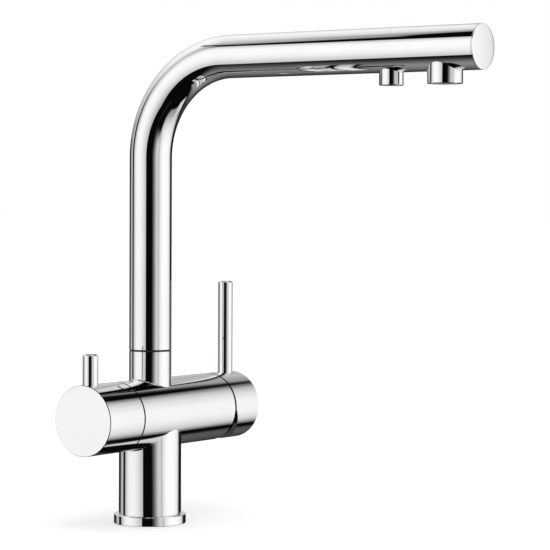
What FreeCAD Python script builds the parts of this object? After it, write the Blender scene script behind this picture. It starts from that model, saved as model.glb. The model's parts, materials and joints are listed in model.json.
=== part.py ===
"""Three way filtered water tap, built up from its separate pieces.

Frame: the origin is on the middle of the column at the deck, +Z is up, the
spout points to -Y.  The mixer lever is at the +X end of the barrel and the
filtered water lever at the -X end.  All sizes are in millimetres.
"""

import FreeCAD
import Part
import Sketcher
import math
import os
import re

# Points of a sketch edge, in their order.
START, END, CENTRE = range(1, 4)
FULL_TURN = 360

DOCUMENT = FreeCAD.newDocument("water_tap")
SHEET = DOCUMENT.addObject("Spreadsheet::Sheet", "Sizes")
NAMES = []
BODIES = []

# How an outline beside each axis is drawn: the plane and the turning line.
TURNING = {
    "X": ("XZ_Plane", "H_Axis"),
    "Y": ("XY_Plane", "V_Axis"),
    "Z": ("XZ_Plane", "V_Axis"),
    "Z_REAR": ("YZ_Plane", "V_Axis"),
}


# ---------------------------------------------------------------- the sizes

# Each group below is written to the sheet: a number drives the model, and a
# rule that starts with = follows from the sizes above it.

# Sizes of what is seen from outside.
OUTSIDE_SIZES = {
    "riser_diameter": 28.0,  # outside of the spout tube and of the neck
    "tube_wall": 1.2,  # wall of the spout tube
    "barrel_height": 72.65,  # axis of the barrel above the deck
    "barrel_diameter": 45.8,  # outside of the barrel and both lever caps
    "neck_rise": 41.85,  # top of the neck above the barrel axis
    "washer_thickness": 0.7,  # bearing washer under the spout tube
    "spout_height": 307.1,  # middle of the level spout above the deck
    "bend_radius": 65.0,  # middle line of the bend
    "spout_reach": 250.9,  # column middle to the end of the spout
    "filter_seam": 35.0,  # barrel end on the filtered water side
    "filter_seam_gap": 0.4,  # open seam beside the filtered water cap
    "filter_cap_length": 35.8,  # rim to outer face of the filtered water cap
    "mixer_seam": 66.2,  # barrel end on the mixer side
    "mixer_seam_gap": 0.8,  # open seam beside the mixer cap
    "mixer_cap_length": 27.1,  # rim to outer face of the mixer cap
    "column_diameter": 41.4,  # outside of the column
    "base_ring_diameter": 47.7,  # outside of the base ring
    "base_ring_height": 6.1,  # height of the base ring
    "pin_diameter": 10.0,  # outside of the lever pins
    "filter_pin_inset": 8.0,  # filtered water pin behind its cap's outer face
    "filter_pin_rise": 42.35,  # top of that pin above the barrel axis
    "mixer_pin_inset": 8.5,  # mixer pin behind its cap's outer face
    "mixer_pin_rise": 85.75,  # top of that pin above the barrel axis
    "aerator_inset": 26.9,  # mixed outlet behind the end of the spout
    "aerator_diameter": 21.8,  # outside of the aerator collar
    "aerator_drop": 21.7,  # its lower rim below the middle of the spout
    "outlet_spacing": 38.1,  # mixed outlet to filtered outlet
    "nozzle_diameter": 15.1,  # outside of the filtered outlet
    "nozzle_drop": 21.8,  # its lower rim below the middle of the spout
    "riser_radius": "=riser_diameter / 2",
    "barrel_radius": "=barrel_diameter / 2",
    "column_radius": "=column_diameter / 2",
    "pin_radius": "=pin_diameter / 2",
    "neck_top": "=barrel_height + neck_rise",
    "filter_rim": "=filter_seam + filter_seam_gap",
    "filter_cap_end": "=filter_rim + filter_cap_length",
    "mixer_rim": "=mixer_seam + mixer_seam_gap",
    "mixer_cap_end": "=mixer_rim + mixer_cap_length",
    "filter_pin_place": "=filter_cap_end - filter_pin_inset",
    "mixer_pin_place": "=mixer_cap_end - mixer_pin_inset",
    "aerator_place": "=spout_reach - aerator_inset",
    "nozzle_place": "=aerator_place - outlet_spacing",
    "aerator_bottom": "=spout_height - aerator_drop",
    "nozzle_bottom": "=spout_height - nozzle_drop",
}

# Fits, edges and screws shared by many pieces.
COMMON_SIZES = {
    "edge_bevel": 0.3,  # bevel on outside edges
    "blend_radius": 0.8,  # cast blend where column, neck and barrel meet
    "slip_fit": 0.05,  # gap round a turning fit
    "seat_gap": 0.05,  # gap between pieces pressed or screwed together
    "seal_gap": 0.02,  # gap left beside a seal in its groove
    "grub_radius": 2.0,  # outside of the small set screws
    "thread_depth": 0.25,  # how much smaller a tapped hole is drilled
    "key_radius": 1.15,  # round key socket of the set screws
    "key_depth": 2.0,  # depth of that socket
    "lever_tilt": 25.0,  # largest tilt of the mixer lever in degrees
    "swivel_side": 70.0,  # spout swivel to either side in degrees
    "tube_bore_radius": "=riser_radius - tube_wall",
    "washer_top": "=neck_top + washer_thickness",
    "tube_bottom": "=washer_top + slip_fit",
}

# Bores and drillings inside the casting.
WATERWAY_SIZES = {
    "shank_bore_radius": 14.5,  # tapped bore for the fixing shank
    "shank_bore_depth": 12.0,  # depth of the tapped shank bore
    "spigot_step": 2.7,  # column outside to the spigot in the base ring
    "hose_circle_radius": 8.5,  # circle of the three hose sockets
    "hose_angle": 120.0,  # turn from one hose socket to the next
    "hose_socket_radius": 4.5,  # tapped hose socket
    "hose_socket_depth": 10.0,  # depth of the hose sockets
    "waterway_radius": 3.0,  # main drillings
    "centre_way_radius": 2.5,  # drilling from valve seat to riser
    "side_way_radius": 2.2,  # drilling into the valve chamber
    "side_way_place": 10.0,  # sideways place of that drilling
    "port_drop": 9.15,  # hot port below the barrel axis
    "port_rise": 5.55,  # cold and mixed ports above the barrel axis
    "mixed_way_place": 3.0,  # upright mixed drilling from column middle
    "neck_wall": 4.0,  # wall of the neck round the swivel fitting
    "socket_depth": 24.5,  # depth of the bore in the neck
    "spigot_bore_depth": 8.0,  # depth of the inner spigot bore below it
    "valve_chamber_radius": 12.5,  # bore for the filtered water valve
    "valve_chamber_floor": 14.0,  # valve seat from the column middle
    "mixer_chamber_radius": 17.6,  # bore for the mixing cartridge
    "mixer_chamber_depth": 38.2,  # cartridge seat behind the barrel end
    "mixer_mouth_wall": 4.1,  # barrel wall round the cartridge nut
    "gasket_width": 2.0,  # width of the gasket groove
    "gasket_depth": 1.6,  # depth of the gasket groove
    "spigot_radius": "=column_radius - spigot_step",
    "socket_radius": "=riser_radius - neck_wall",
    "socket_floor": "=neck_top - socket_depth",
    "spigot_bore_floor": "=socket_floor - spigot_bore_depth",
    "mixer_chamber_floor": "=mixer_seam - mixer_chamber_depth",
    "mixer_mouth_radius": "=barrel_radius - mixer_mouth_wall",
    "hose_socket_top": "=shank_bore_depth + hose_socket_depth",
    "gasket_middle": "=(spigot_radius + base_ring_diameter / 2) / 2",
    "gasket_outer_radius": "=gasket_middle + gasket_width / 2",
    "gasket_inner_radius": "=gasket_middle - gasket_width / 2",
    "hose_side": "=hose_circle_radius * sin(hose_angle)",
    "hose_back": "=hose_circle_radius * cos(hose_angle)",
}

# Pieces that carry the turning spout and the inner water tube.
RISER_SIZES = {
    "fitting_rise": 12.5,  # top of the swivel fitting above the neck
    "fitting_foot_gap": 2.0,  # foot of the fitting above the floor of its bore
    "fitting_wall": 3.0,  # neck bore to the mixed water bore of the fitting
    "lower_seal_rise": 4.7,  # lower swivel seal above the foot of the fitting
    "seal_spacing": 6.0,  # lower to upper swivel seal
    "swivel_groove_width": 2.4,  # width of the swivel seal grooves
    "swivel_groove_depth": 1.5,  # depth of the swivel seal grooves
    "stop_depth": 5.5,  # swivel stop screw below the top of the neck
    "stop_nose_radius": 1.3,  # nose of the stop screw
    "stop_nose_length": 1.0,  # nose of the stop screw inside the groove
    "stop_groove_width": 3.2,  # width of the stop groove
    "stop_groove_depth": 1.4,  # depth of the stop groove
    "stop_spare_angle": 9.9,  # nose and gap at each end of the groove
    "inner_tube_diameter": 8.0,  # outside of the filtered water tube
    "inner_tube_wall": 1.25,  # wall of the filtered water tube
    "inner_spigot_gap": 1.0,  # foot of the inner spigot above its bore floor
    "inner_spigot_length": 29.0,  # foot to shoulder of the inner spigot
    "inner_seal_rise": 3.4,  # seal of the inner spigot above its foot
    "inner_groove_width": 1.8,  # width of the inner seal groove
    "inner_groove_depth": 1.0,  # depth of the inner seal groove
    "barb_length": 8.0,  # barb inside the filtered tube
    "barb_bore_radius": 1.9,  # water bore through the barbs
    "centraliser_inset": 8.0,  # foot of the centraliser below the fitting top
    "centraliser_height": 6.0,  # height of the tube centraliser
    "centraliser_hub_wall": 1.4,  # hub wall of the centraliser
    "centraliser_arm_width": 2.0,  # arms of the centraliser
    "centraliser_arms": 3,  # number of arms
    "fitting_top": "=neck_top + fitting_rise",
    "fitting_foot": "=socket_floor + fitting_foot_gap",
    "fitting_radius": "=socket_radius - slip_fit",
    "fitting_bore_radius": "=socket_radius - fitting_wall",
    "lower_seal_height": "=fitting_foot + lower_seal_rise",
    "upper_seal_height": "=lower_seal_height + seal_spacing",
    "stop_height": "=neck_top - stop_depth",
    "inner_radius": "=inner_tube_diameter / 2",
    "inner_bore_radius": "=inner_radius - inner_tube_wall",
    "inner_spigot_foot": "=spigot_bore_floor + inner_spigot_gap",
    "inner_spigot_shoulder": "=inner_spigot_foot + inner_spigot_length",
    "inner_seal_height": "=inner_spigot_foot + inner_seal_rise",
    "barb_radius": "=inner_bore_radius - seat_gap",
    "centraliser_foot": "=fitting_top - centraliser_inset",
}

# Pieces at the end of the spout.
OUTLET_SIZES = {
    "end_cap_thickness": 1.5,  # face of the spout end cap
    "end_plug_length": 6.0,  # plug of the spout end cap
    "elbow_hub_radius": 5.0,  # level part of the filtered water elbow
    "elbow_hub_back": 10.0,  # start of the elbow before the outlet axis
    "elbow_hub_front": 5.0,  # end of the elbow past the outlet axis
    "elbow_stud_radius": 4.9,  # stud down through the spout tube
    "stud_clearance": 0.3,  # gap round that stud in the tube
    "nozzle_wall": 1.55,  # wall of the filtered outlet round its pocket
    "nozzle_insert_recess": 0.6,  # insert above the lower rim
    "nozzle_insert_height": 3.4,  # height of the stream insert
    "nozzle_gasket_height": 0.9,  # height of the gasket above it
    "nozzle_hole_radius": 0.8,  # stream holes
    "nozzle_hole_circle": 3.4,  # circle of the stream holes
    "nozzle_hole_count": 6,  # stream holes round the middle one
    "gasket_hole_radius": 4.0,  # opening of the outlet gasket
    "collar_wall": 1.6,  # wall of the aerator collar
    "collar_shoulder": 0.8,  # step in the collar above the gasket
    "aerator_recess": 0.5,  # aerator above the lower rim
    "aerator_height": 4.1,  # height of the aerator grid
    "aerator_rim_wall": 1.3,  # rim of the aerator grid
    "grid_hole_radius": 0.85,  # holes of the aerator grid
    "grid_inner_circle": 2.8,  # inner circle of grid holes
    "grid_outer_circle": 5.7,  # outer circle of grid holes
    "grid_inner_count": 6,  # holes on the inner circle
    "grid_outer_count": 12,  # holes on the outer circle
    "screen_thickness": 0.4,  # flow screen above the grid
    "screen_hole_radius": 1.6,  # openings of the flow screen
    "aerator_gasket_height": 0.45,  # height of the gasket above the screen
    "aerator_gasket_width": 1.9,  # collar bore to the opening of that gasket
    "stud_hole_radius": "=elbow_stud_radius + stud_clearance",
    "nozzle_radius": "=nozzle_diameter / 2",
    "nozzle_pocket_radius": "=nozzle_radius - nozzle_wall",
    "nozzle_insert_top": "=nozzle_insert_recess + nozzle_insert_height",
    "nozzle_pocket_depth": "=nozzle_insert_top + nozzle_gasket_height + 2 * seat_gap",
    "aerator_radius": "=aerator_diameter / 2",
    "aerator_bore_radius": "=aerator_radius - collar_wall",
    "aerator_gasket_hole": "=aerator_bore_radius - aerator_gasket_width",
    "outlet_hole_radius": "=aerator_bore_radius - collar_shoulder",
    "aerator_top": "=aerator_recess + aerator_height",
    "aerator_pocket_depth": "=aerator_top + screen_thickness + aerator_gasket_height + 3 * seat_gap",
}

# Quarter turn valve and lever for the filtered water.
VALVE_SIZES = {
    "valve_seal_thickness": 3.0,  # valve seat to the fixed valve disc
    "valve_disc_thickness": 2.5,  # thickness of each valve disc
    "valve_port_radius": 1.8,  # ports of the valve discs
    "valve_port_place": 4.4,  # ports from the valve axis
    "valve_seal_hole": 6.4,  # opening of the valve seat seal
    "valve_nose_radius": 9.2,  # nose of the valve body
    "valve_nose_wall": 1.2,  # wall of that nose round the discs
    "valve_disc_clearance": 0.1,  # gap round the discs
    "valve_thread_step": 0.7,  # disc bore end to the start of the thread
    "valve_window_radius": 1.7,  # side windows of the valve nose
    "valve_window_inset": 2.2,  # side windows before the thread
    "valve_window_count": 4,  # number of side windows
    "flange_width": 15.0,  # half width across the corners, hexagon
    "flange_thickness": 4.0,  # barrel end to the outer face of the hexagon
    "valve_neck_radius": 7.5,  # neck outside the hexagon
    "valve_neck_length": 4.0,  # length of that neck
    "spindle_radius": 4.5,  # valve spindle
    "spindle_foot_radius": 6.5,  # driving foot of the spindle
    "spindle_foot_length": 2.4,  # thickness of the driving foot
    "spindle_end_gap": 0.3,  # play behind the driving foot
    "valve_seal_inset": 4.0,  # spindle seal inside the barrel end
    "spindle_groove_width": 2.0,  # width of the spindle seal groove
    "spindle_groove_depth": 1.1,  # depth of the spindle seal groove
    "clip_gap": 0.3,  # valve neck to the spindle clip
    "clip_thickness": 0.9,  # thickness of the spindle clip
    "clip_groove_depth": 0.7,  # depth of the clip groove
    "clip_radius": 6.2,  # outside of the spindle clip
    "clip_opening": 5.0,  # open side of the spindle clip
    "square_width": 6.0,  # square end of the spindle
    "square_gap": 1.7,  # clip to the start of the square end
    "square_length": 13.0,  # length of the square end
    "filter_cap_wall": 3.4,  # wall of the filtered water cap
    "cavity_floor_gap": 2.0,  # start of the square to the cap's hollow floor
    "filter_grub_inset": 6.0,  # set screw past the hollow floor
    "grub_length": 8.0,  # length of the lever set screws
    "pin_seat_depth": 2.5,  # depth of the pin seats in the caps
    "pin_stud_radius": 2.5,  # threaded stud of the pins
    "pin_stud_length": 9.4,  # length of that stud
    "pin_bevel": 0.7,  # bevel at the top of the pins
    "valve_bore_radius": "=valve_nose_radius - valve_nose_wall",
    "valve_disc_radius": "=valve_bore_radius - valve_disc_clearance",
    "valve_disc_start": "=valve_chamber_floor + valve_seal_thickness",
    "spindle_foot": "=valve_disc_start + 2 * valve_disc_thickness + 2 * slip_fit",
    "valve_bore_end": "=spindle_foot + spindle_foot_length + spindle_end_gap",
    "valve_thread_start": "=valve_bore_end + valve_thread_step",
    "valve_window_place": "=valve_thread_start - valve_window_inset",
    "flange_end": "=filter_seam + flange_thickness",
    "valve_neck_end": "=flange_end + valve_neck_length",
    "valve_seal_place": "=filter_seam - valve_seal_inset",
    "clip_place": "=valve_neck_end + clip_gap",
    "square_start": "=clip_place + square_gap",
    "square_end": "=square_start + square_length",
    "filter_cavity_radius": "=barrel_radius - filter_cap_wall",
    "filter_cavity_end": "=square_start + cavity_floor_gap",
    "filter_grub_place": "=filter_cavity_end + filter_grub_inset",
    "pin_seat_height": "=barrel_radius - pin_seat_depth",
    "pin_stud_end": "=pin_seat_height - pin_stud_length",
}

# Mixing cartridge and lever: each stage is measured from the one before it.
CARTRIDGE_SIZES = {
    "port_seal_thickness": 1.0,  # moulded seal under the cartridge
    "port_seal_radius": 15.5,  # outside of that seal
    "port_radius": 2.6,  # ports through the cartridge
    "cartridge_base_height": 6.0,  # seat to the outer face of the base
    "fixed_disc_height": 3.5,  # base to the outer face of the fixed disc
    "fixed_disc_clearance": 0.4,  # gap round the fixed disc
    "moving_disc_height": 3.5,  # to the outer face of the moving disc
    "moving_disc_radius": 11.0,  # outside of the moving disc
    "moving_disc_drop": 2.85,  # closed place of the moving disc
    "mixing_hollow_radius": 8.2,  # hollow of the moving disc
    "mixing_hollow_depth": 1.6,  # depth of that hollow
    "carrier_plate_height": 2.5,  # plate of the disc carrier
    "carrier_tower_radius": 5.6,  # tower of the disc carrier
    "carrier_tower_height": 8.5,  # moving disc to the end of that tower
    "ball_socket_radius": 3.6,  # socket for the stem ball
    "ball_socket_depth": 4.0,  # depth of that socket
    "housing_clearance": 0.2,  # gap round the cartridge housing
    "housing_wall": 2.8,  # wall of the cartridge housing
    "housing_top": 3.8,  # top wall of the housing
    "turret_flange_gap": 0.5,  # carrier tower to the turret flange
    "turret_flange_radius": 13.0,  # flange of the turret
    "turret_flange_height": 4.2,  # flange start to the housing top wall
    "turret_radius": 9.0,  # neck of the turret
    "turret_rise": 1.1,  # turret past the cartridge nut
    "turret_slot_width": 8.4,  # slot for the stem
    "turret_slot_inner": 4.8,  # slot below and above the pivot
    "turret_slot_swing": 11.5,  # slot at the inner end
    "turret_slot_outer": 6.6,  # slot at the outer end
    "pivot_pin_radius": 1.5,  # pivot pin
    "pivot_pin_inset": 0.6,  # ends of the pivot pin inside the turret
    "ball_arm": 13.5,  # pivot to the middle of the stem ball
    "ball_radius": 3.2,  # ball at the end of the stem
    "stem_neck_radius": 2.1,  # neck behind the ball
    "stem_neck_length": 6.0,  # ball to the end of the stem neck
    "stem_radius": 4.0,  # round part of the stem
    "stem_round_length": 5.0,  # pivot to the start of the square part
    "stem_square_width": 8.0,  # square part of the stem
    "stem_square_bare": 12.0,  # square part inside the cap's hollow
    "stem_square_grip": 8.0,  # square part inside the cap's socket
    "nut_inset": 0.7,  # cartridge nut inside the barrel end
    "nut_key_radius": 14.0,  # corner radius of the nut key hexagon
    "nut_key_depth": 5.0,  # depth of the key hexagon
    "nut_bore_radius": 11.8,  # bore of the cartridge nut
    "mixer_cap_wall": 2.5,  # wall of the mixer cap
    "dome_clearance": 1.5,  # gap between dome cover and cap hollow
    "dome_wall": 1.5,  # wall of the dome cover
    "dome_reach": 11.0,  # lever pivot to the open edge of the dome
    "cartridge_base_end": "=mixer_chamber_floor + cartridge_base_height",
    "fixed_disc_end": "=cartridge_base_end + fixed_disc_height",
    "moving_disc_end": "=fixed_disc_end + moving_disc_height",
    "carrier_plate_end": "=moving_disc_end + carrier_plate_height",
    "carrier_tower_end": "=moving_disc_end + carrier_tower_height",
    "ball_socket_floor": "=carrier_tower_end - ball_socket_depth",
    "housing_radius": "=mixer_chamber_radius - housing_clearance",
    "housing_bore_radius": "=housing_radius - housing_wall",
    "fixed_disc_radius": "=housing_bore_radius - fixed_disc_clearance",
    "turret_flange_start": "=carrier_tower_end + turret_flange_gap",
    "housing_shoulder": "=turret_flange_start + turret_flange_height",
    "housing_end": "=housing_shoulder + housing_top",
    "mixer_mouth_floor": "=housing_end",
    "nut_end": "=mixer_seam - nut_inset",
    "nut_key_floor": "=nut_end - nut_key_depth",
    "turret_end": "=nut_end + turret_rise",
    "ball_place": "=carrier_tower_end",
    "pivot_place": "=ball_place + ball_arm",
    "pivot_pin_half": "=turret_radius - pivot_pin_inset",
    "stem_neck_end": "=ball_place + stem_neck_length",
    "stem_square_start": "=pivot_place + stem_round_length",
    "cap_cavity_end": "=stem_square_start + stem_square_bare",
    "stem_square_end": "=cap_cavity_end + stem_square_grip",
    "cap_cavity_radius": "=barrel_radius - mixer_cap_wall",
    "dome_radius": "=cap_cavity_radius - dome_clearance",
    "dome_end": "=pivot_place + dome_reach",
    "rim_slope": "=tan(lever_tilt)",
}

SIZE_GROUPS = (
    OUTSIDE_SIZES,
    COMMON_SIZES,
    WATERWAY_SIZES,
    RISER_SIZES,
    OUTLET_SIZES,
    VALVE_SIZES,
    CARTRIDGE_SIZES,
)


# -------------------------------------------------- drawing and cutting aids


def formula(text):
    """Point every size name in a rule at the sheet."""
    def named(match):
        word = match.group(0)
        if word in NAMES:
            return "Sizes." + word
        return word
    return re.sub(r"[a-z_]+", named, text)


def value_of(rule):
    """Number that a rule gives now."""
    return float(SHEET.evalExpression(formula(rule)))


def bind(thing, path, rule):
    """Tie one property to a rule in the sheet."""
    thing.setExpression(path, formula(rule))


def new_body(name, x="0", y="0", z="0"):
    """Start one sub-part, placed in the frame by rules."""
    body = DOCUMENT.addObject("PartDesign::Body", name)
    body.Label = name
    bind(body, "Placement.Base.x", x)
    bind(body, "Placement.Base.y", y)
    bind(body, "Placement.Base.z", z)
    BODIES.append(body)
    return body


def origin_plane(body, role):
    """Origin plane or axis of a sub-part, found by its role."""
    for feature in body.Origin.OriginFeatures:
        if feature.Role == role:
            return feature
    return None


def new_sketch(body, name, plane, place):
    """Sketch on an origin plane, moved to a place given by three rules."""
    x, y, z = place
    sketch = body.newObject("Sketcher::SketchObject", name)
    sketch.AttachmentSupport = [(origin_plane(body, plane), "")]
    sketch.MapMode = "FlatFace"
    moves = {
        "XZ_Plane": (x, z, f"-({y})"),
        "XY_Plane": (x, y, z),
        "YZ_Plane": (y, z, x),
    }
    for axis, rule in zip("xyz", moves[plane]):
        bind(sketch, f"AttachmentOffset.Base.{axis}", rule)
    return sketch


def pin_point(sketch, index, end, across, up):
    """Hold one point of a line at two rules."""
    rules = (("DistanceX", across), ("DistanceY", up))
    for kind, rule in rules:
        held = Sketcher.Constraint(kind, -1, START, index, end, value_of(rule))
        number = sketch.addConstraint(held)
        bind(sketch, f"Constraints[{number}]", rule)


def draw_outline(sketch, points):
    """Closed outline through points that are pairs of rules."""
    places = [FreeCAD.Vector(value_of(u), value_of(v), 0) for u, v in points]
    following = places[1:] + places[:1]
    for here, there in zip(places, following):
        sketch.addGeometry(Part.LineSegment(here, there))
    count = len(places)
    for index in range(count):
        after = (index + 1) % count
        joined = Sketcher.Constraint("Coincident", index, END, after, START)
        sketch.addConstraint(joined)
    for index, (across, up) in enumerate(points):
        pin_point(sketch, index, START, across, up)


def draw_circle(sketch, index, across, up, radius):
    """Circle held at two rules with its radius a third."""
    centre = FreeCAD.Vector(value_of(across), value_of(up), 0)
    upward = FreeCAD.Vector(0, 0, 1)
    sketch.addGeometry(Part.Circle(centre, upward, value_of(radius)))
    pin_point(sketch, index, CENTRE, across, up)
    held = Sketcher.Constraint("Radius", index, value_of(radius))
    number = sketch.addConstraint(held)
    bind(sketch, f"Constraints[{number}]", radius)


def swept_round(body, kind, name, sketch, along):
    """Turn a sketch right round its axis, adding or taking away."""
    feature = body.newObject("PartDesign::" + kind, name)
    feature.Profile = sketch
    feature.ReferenceAxis = (sketch, [TURNING[along][1]])
    feature.Angle = FULL_TURN
    return feature


def turned(body, name, points, along="Z", place=("0", "0", "0")):
    """Add a turned shape: points are (radius, distance) or, along X,
    (distance, radius)."""
    sketch = new_sketch(body, name + "_outline", TURNING[along][0], place)
    draw_outline(sketch, points)
    return swept_round(body, "Revolution", name, sketch, along)


def turned_away(body, name, points, along="Z", place=("0", "0", "0")):
    """Take away a turned shape."""
    sketch = new_sketch(body, name + "_outline", TURNING[along][0], place)
    draw_outline(sketch, points)
    return swept_round(body, "Groove", name, sketch, along)


def drilled(body, name, radius, start, end, along="Z", place=("0", "0", "0")):
    """Take away a round hole between two distances along an axis."""
    points = [("0", start), (radius, start), (radius, end), ("0", end)]
    if along == "X":
        points = [(distance, side) for side, distance in points]
    return turned_away(body, name, points, along, place)


def turned_seal(name, mean_radius, section_radius, along, place):
    """Round-section sealing ring about an axis."""
    x, y, z = place
    body = new_body(name, x, y, z)
    sketch = new_sketch(body, name + "_section", TURNING[along][0], ("0", "0", "0"))
    if along == "X":
        draw_circle(sketch, 0, "0", mean_radius, section_radius)
    else:
        draw_circle(sketch, 0, mean_radius, "0", section_radius)
    swept_round(body, "Revolution", name + "_ring", sketch, along)
    return body


def boxed(body, kind, name, x, y, z):
    """Box between pairs of rules in X, Y and Z, added or taken away."""
    box = body.newObject("PartDesign::" + kind + "Box", name)
    spans = (("Length", "x", x), ("Width", "y", y), ("Height", "z", z))
    for side, axis, (low, high) in spans:
        bind(box, side, f"({high}) - ({low})")
        bind(box, f"Placement.Base.{axis}", low)
    return box


def hexagon(body, kind, name, corner_radius, start, end):
    """Hexagonal prism along X between two rules, added or taken away."""
    prism = body.newObject("PartDesign::" + kind + "Prism", name)
    sideways = FreeCAD.Rotation(FreeCAD.Vector(0, 1, 0), 90)
    prism.Placement = FreeCAD.Placement(FreeCAD.Vector(0, 0, 0), sideways)
    prism.Polygon = 6
    bind(prism, "Circumradius", corner_radius)
    bind(prism, "Height", f"({end}) - ({start})")
    bind(prism, "Placement.Base.x", start)
    return prism


def patterned(body, name, feature, axis, count):
    """Repeat one feature round an axis of the sub-part."""
    pattern = body.newObject("PartDesign::PolarPattern", name)
    pattern.Originals = [feature]
    pattern.Axis = (origin_plane(body, axis), [""])
    pattern.Angle = FULL_TURN
    bind(pattern, "Occurrences", count)
    body.Tip = pattern
    return pattern


def cut_across(body, name, points, width, place=("0", "0", "0")):
    """Cut an outline in the XZ plane through the sub-part, evenly to both
    sides."""
    sketch = new_sketch(body, name + "_outline", "XZ_Plane", place)
    draw_outline(sketch, points)
    pocket = body.newObject("PartDesign::Pocket", name)
    pocket.Profile = sketch
    pocket.SideType = "Symmetric"
    bind(pocket, "Length", width)
    return pocket


def path_sketch(body, name, foot, reach):
    """Middle line of the spout: up, round the bend and out level."""
    sketch = new_sketch(body, name, "YZ_Plane", ("0", "0", "0"))
    bend = value_of("bend_radius")
    low = value_of(foot)
    turn = value_of("spout_height - bend_radius")
    high = value_of("spout_height")
    far = value_of(reach)
    middle = Part.Circle(FreeCAD.Vector(-bend, turn, 0), FreeCAD.Vector(0, 0, 1), bend)
    sketch.addGeometry(Part.LineSegment(FreeCAD.Vector(0, low, 0), FreeCAD.Vector(0, turn, 0)))
    sketch.addGeometry(Part.ArcOfCircle(middle, 0, math.pi / 2))
    sketch.addGeometry(Part.LineSegment(FreeCAD.Vector(-bend, high, 0), FreeCAD.Vector(-far, high, 0)))
    pin_point(sketch, 0, START, "0", foot)
    pin_point(sketch, 0, END, "0", "spout_height - bend_radius")
    pin_point(sketch, 1, CENTRE, "-bend_radius", "spout_height - bend_radius")
    sketch.addConstraint(Sketcher.Constraint("Coincident", 0, END, 1, START))
    sketch.addConstraint(Sketcher.Constraint("Coincident", 1, END, 2, START))
    over = Sketcher.Constraint("DistanceX", -1, START, 2, START, -bend)
    number = sketch.addConstraint(over)
    bind(sketch, f"Constraints[{number}]", "-bend_radius")
    sketch.addConstraint(Sketcher.Constraint("Horizontal", 2))
    out = Sketcher.Constraint("DistanceX", -1, START, 2, END, -far)
    number = sketch.addConstraint(out)
    bind(sketch, f"Constraints[{number}]", f"-({reach})")
    return sketch


def bent_tube(name, outer, inner, foot, reach):
    """Tube with one wall swept along the middle line of the spout."""
    body = new_body(name)
    path = path_sketch(body, name + "_path", foot, reach)
    section = new_sketch(body, name + "_section", "XY_Plane", ("0", "0", foot))
    draw_circle(section, 0, "0", "0", outer)
    draw_circle(section, 1, "0", "0", inner)
    DOCUMENT.recompute()
    pipe = body.newObject("PartDesign::AdditivePipe", name + "_sweep")
    pipe.Profile = section
    pipe.Spine = (path, [])
    return body


# ------------------------------------------------------------- the casting


def make_body_casting():
    """One brass casting: column, barrel and neck with every waterway."""
    body = new_body("body_casting")
    turned(body, "column", [
        ("0", "0"),
        ("spigot_radius", "0"),
        ("spigot_radius", "base_ring_height + seat_gap"),
        ("column_radius - edge_bevel", "base_ring_height + seat_gap"),
        ("column_radius", "base_ring_height + seat_gap + edge_bevel"),
        ("column_radius", "barrel_height"),
        ("riser_radius", "barrel_height"),
        ("riser_radius", "neck_top - edge_bevel"),
        ("riser_radius - edge_bevel", "neck_top"),
        ("0", "neck_top"),
    ])
    last = turned(body, "barrel", [
        ("-filter_seam", "0"),
        ("-filter_seam", "barrel_radius - edge_bevel"),
        ("-filter_seam + edge_bevel", "barrel_radius"),
        ("mixer_seam - edge_bevel", "barrel_radius"),
        ("mixer_seam", "barrel_radius - edge_bevel"),
        ("mixer_seam", "0"),
    ], "X", ("0", "0", "barrel_height"))
    DOCUMENT.recompute()
    blend_crossings(body, last)
    bore_spout_socket(body)
    bore_valve_chambers(body)
    bore_inlets(body)
    drill_waterways(body)
    return body


def blend_crossings(body, last):
    """Round the cast corners where column and neck run into the barrel."""
    crossings = []
    for number, edge in enumerate(last.Shape.Edges, 1):
        if edge.Curve.TypeId not in ("Part::GeomLine", "Part::GeomCircle"):
            crossings.append(f"Edge{number}")
    blend = body.newObject("PartDesign::Fillet", "cast_blends")
    blend.Base = (last, crossings)
    bind(blend, "Radius", "blend_radius")
    DOCUMENT.recompute()


def bore_spout_socket(body):
    """Bores in the neck for the swivel fitting and the inner spigot."""
    drilled(body, "spout_socket", "socket_radius", "socket_floor", "neck_top")
    turned_away(body, "socket_lead_in", [
        ("0", "neck_top"),
        ("socket_radius + edge_bevel", "neck_top"),
        ("socket_radius", "neck_top - edge_bevel"),
        ("0", "neck_top - edge_bevel"),
    ])
    drilled(body, "inner_spigot_bore", "inner_radius + slip_fit", "spigot_bore_floor", "socket_floor")
    drilled(
        body, "stop_screw_hole", "grub_radius - thread_depth", "socket_radius - seat_gap",
        "riser_radius", "Y", ("0", "0", "stop_height"),
    )


def bore_valve_chambers(body):
    """Bores at the two ends of the barrel."""
    on_axis = ("0", "0", "barrel_height")
    drilled(body, "valve_chamber", "valve_chamber_radius", "-filter_seam", "-valve_chamber_floor", "X", on_axis)
    drilled(body, "mixer_chamber", "mixer_chamber_radius", "mixer_chamber_floor", "mixer_seam", "X", on_axis)
    drilled(body, "mixer_mouth", "mixer_mouth_radius", "mixer_mouth_floor", "mixer_seam", "X", on_axis)


def bore_inlets(body):
    """Tapped shank bore and the three hose sockets in its floor."""
    drilled(body, "shank_bore", "shank_bore_radius", "0", "shank_bore_depth")
    drilled(
        body, "hot_socket", "hose_socket_radius", "shank_bore_depth", "hose_socket_top",
        "Z", ("hose_circle_radius", "0", "0"),
    )
    drilled(
        body, "cold_socket", "hose_socket_radius", "shank_bore_depth", "hose_socket_top",
        "Z", ("hose_back", "hose_side", "0"),
    )
    drilled(
        body, "filtered_socket", "hose_socket_radius", "shank_bore_depth", "hose_socket_top",
        "Z", ("hose_back", "-hose_side", "0"),
    )


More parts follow.
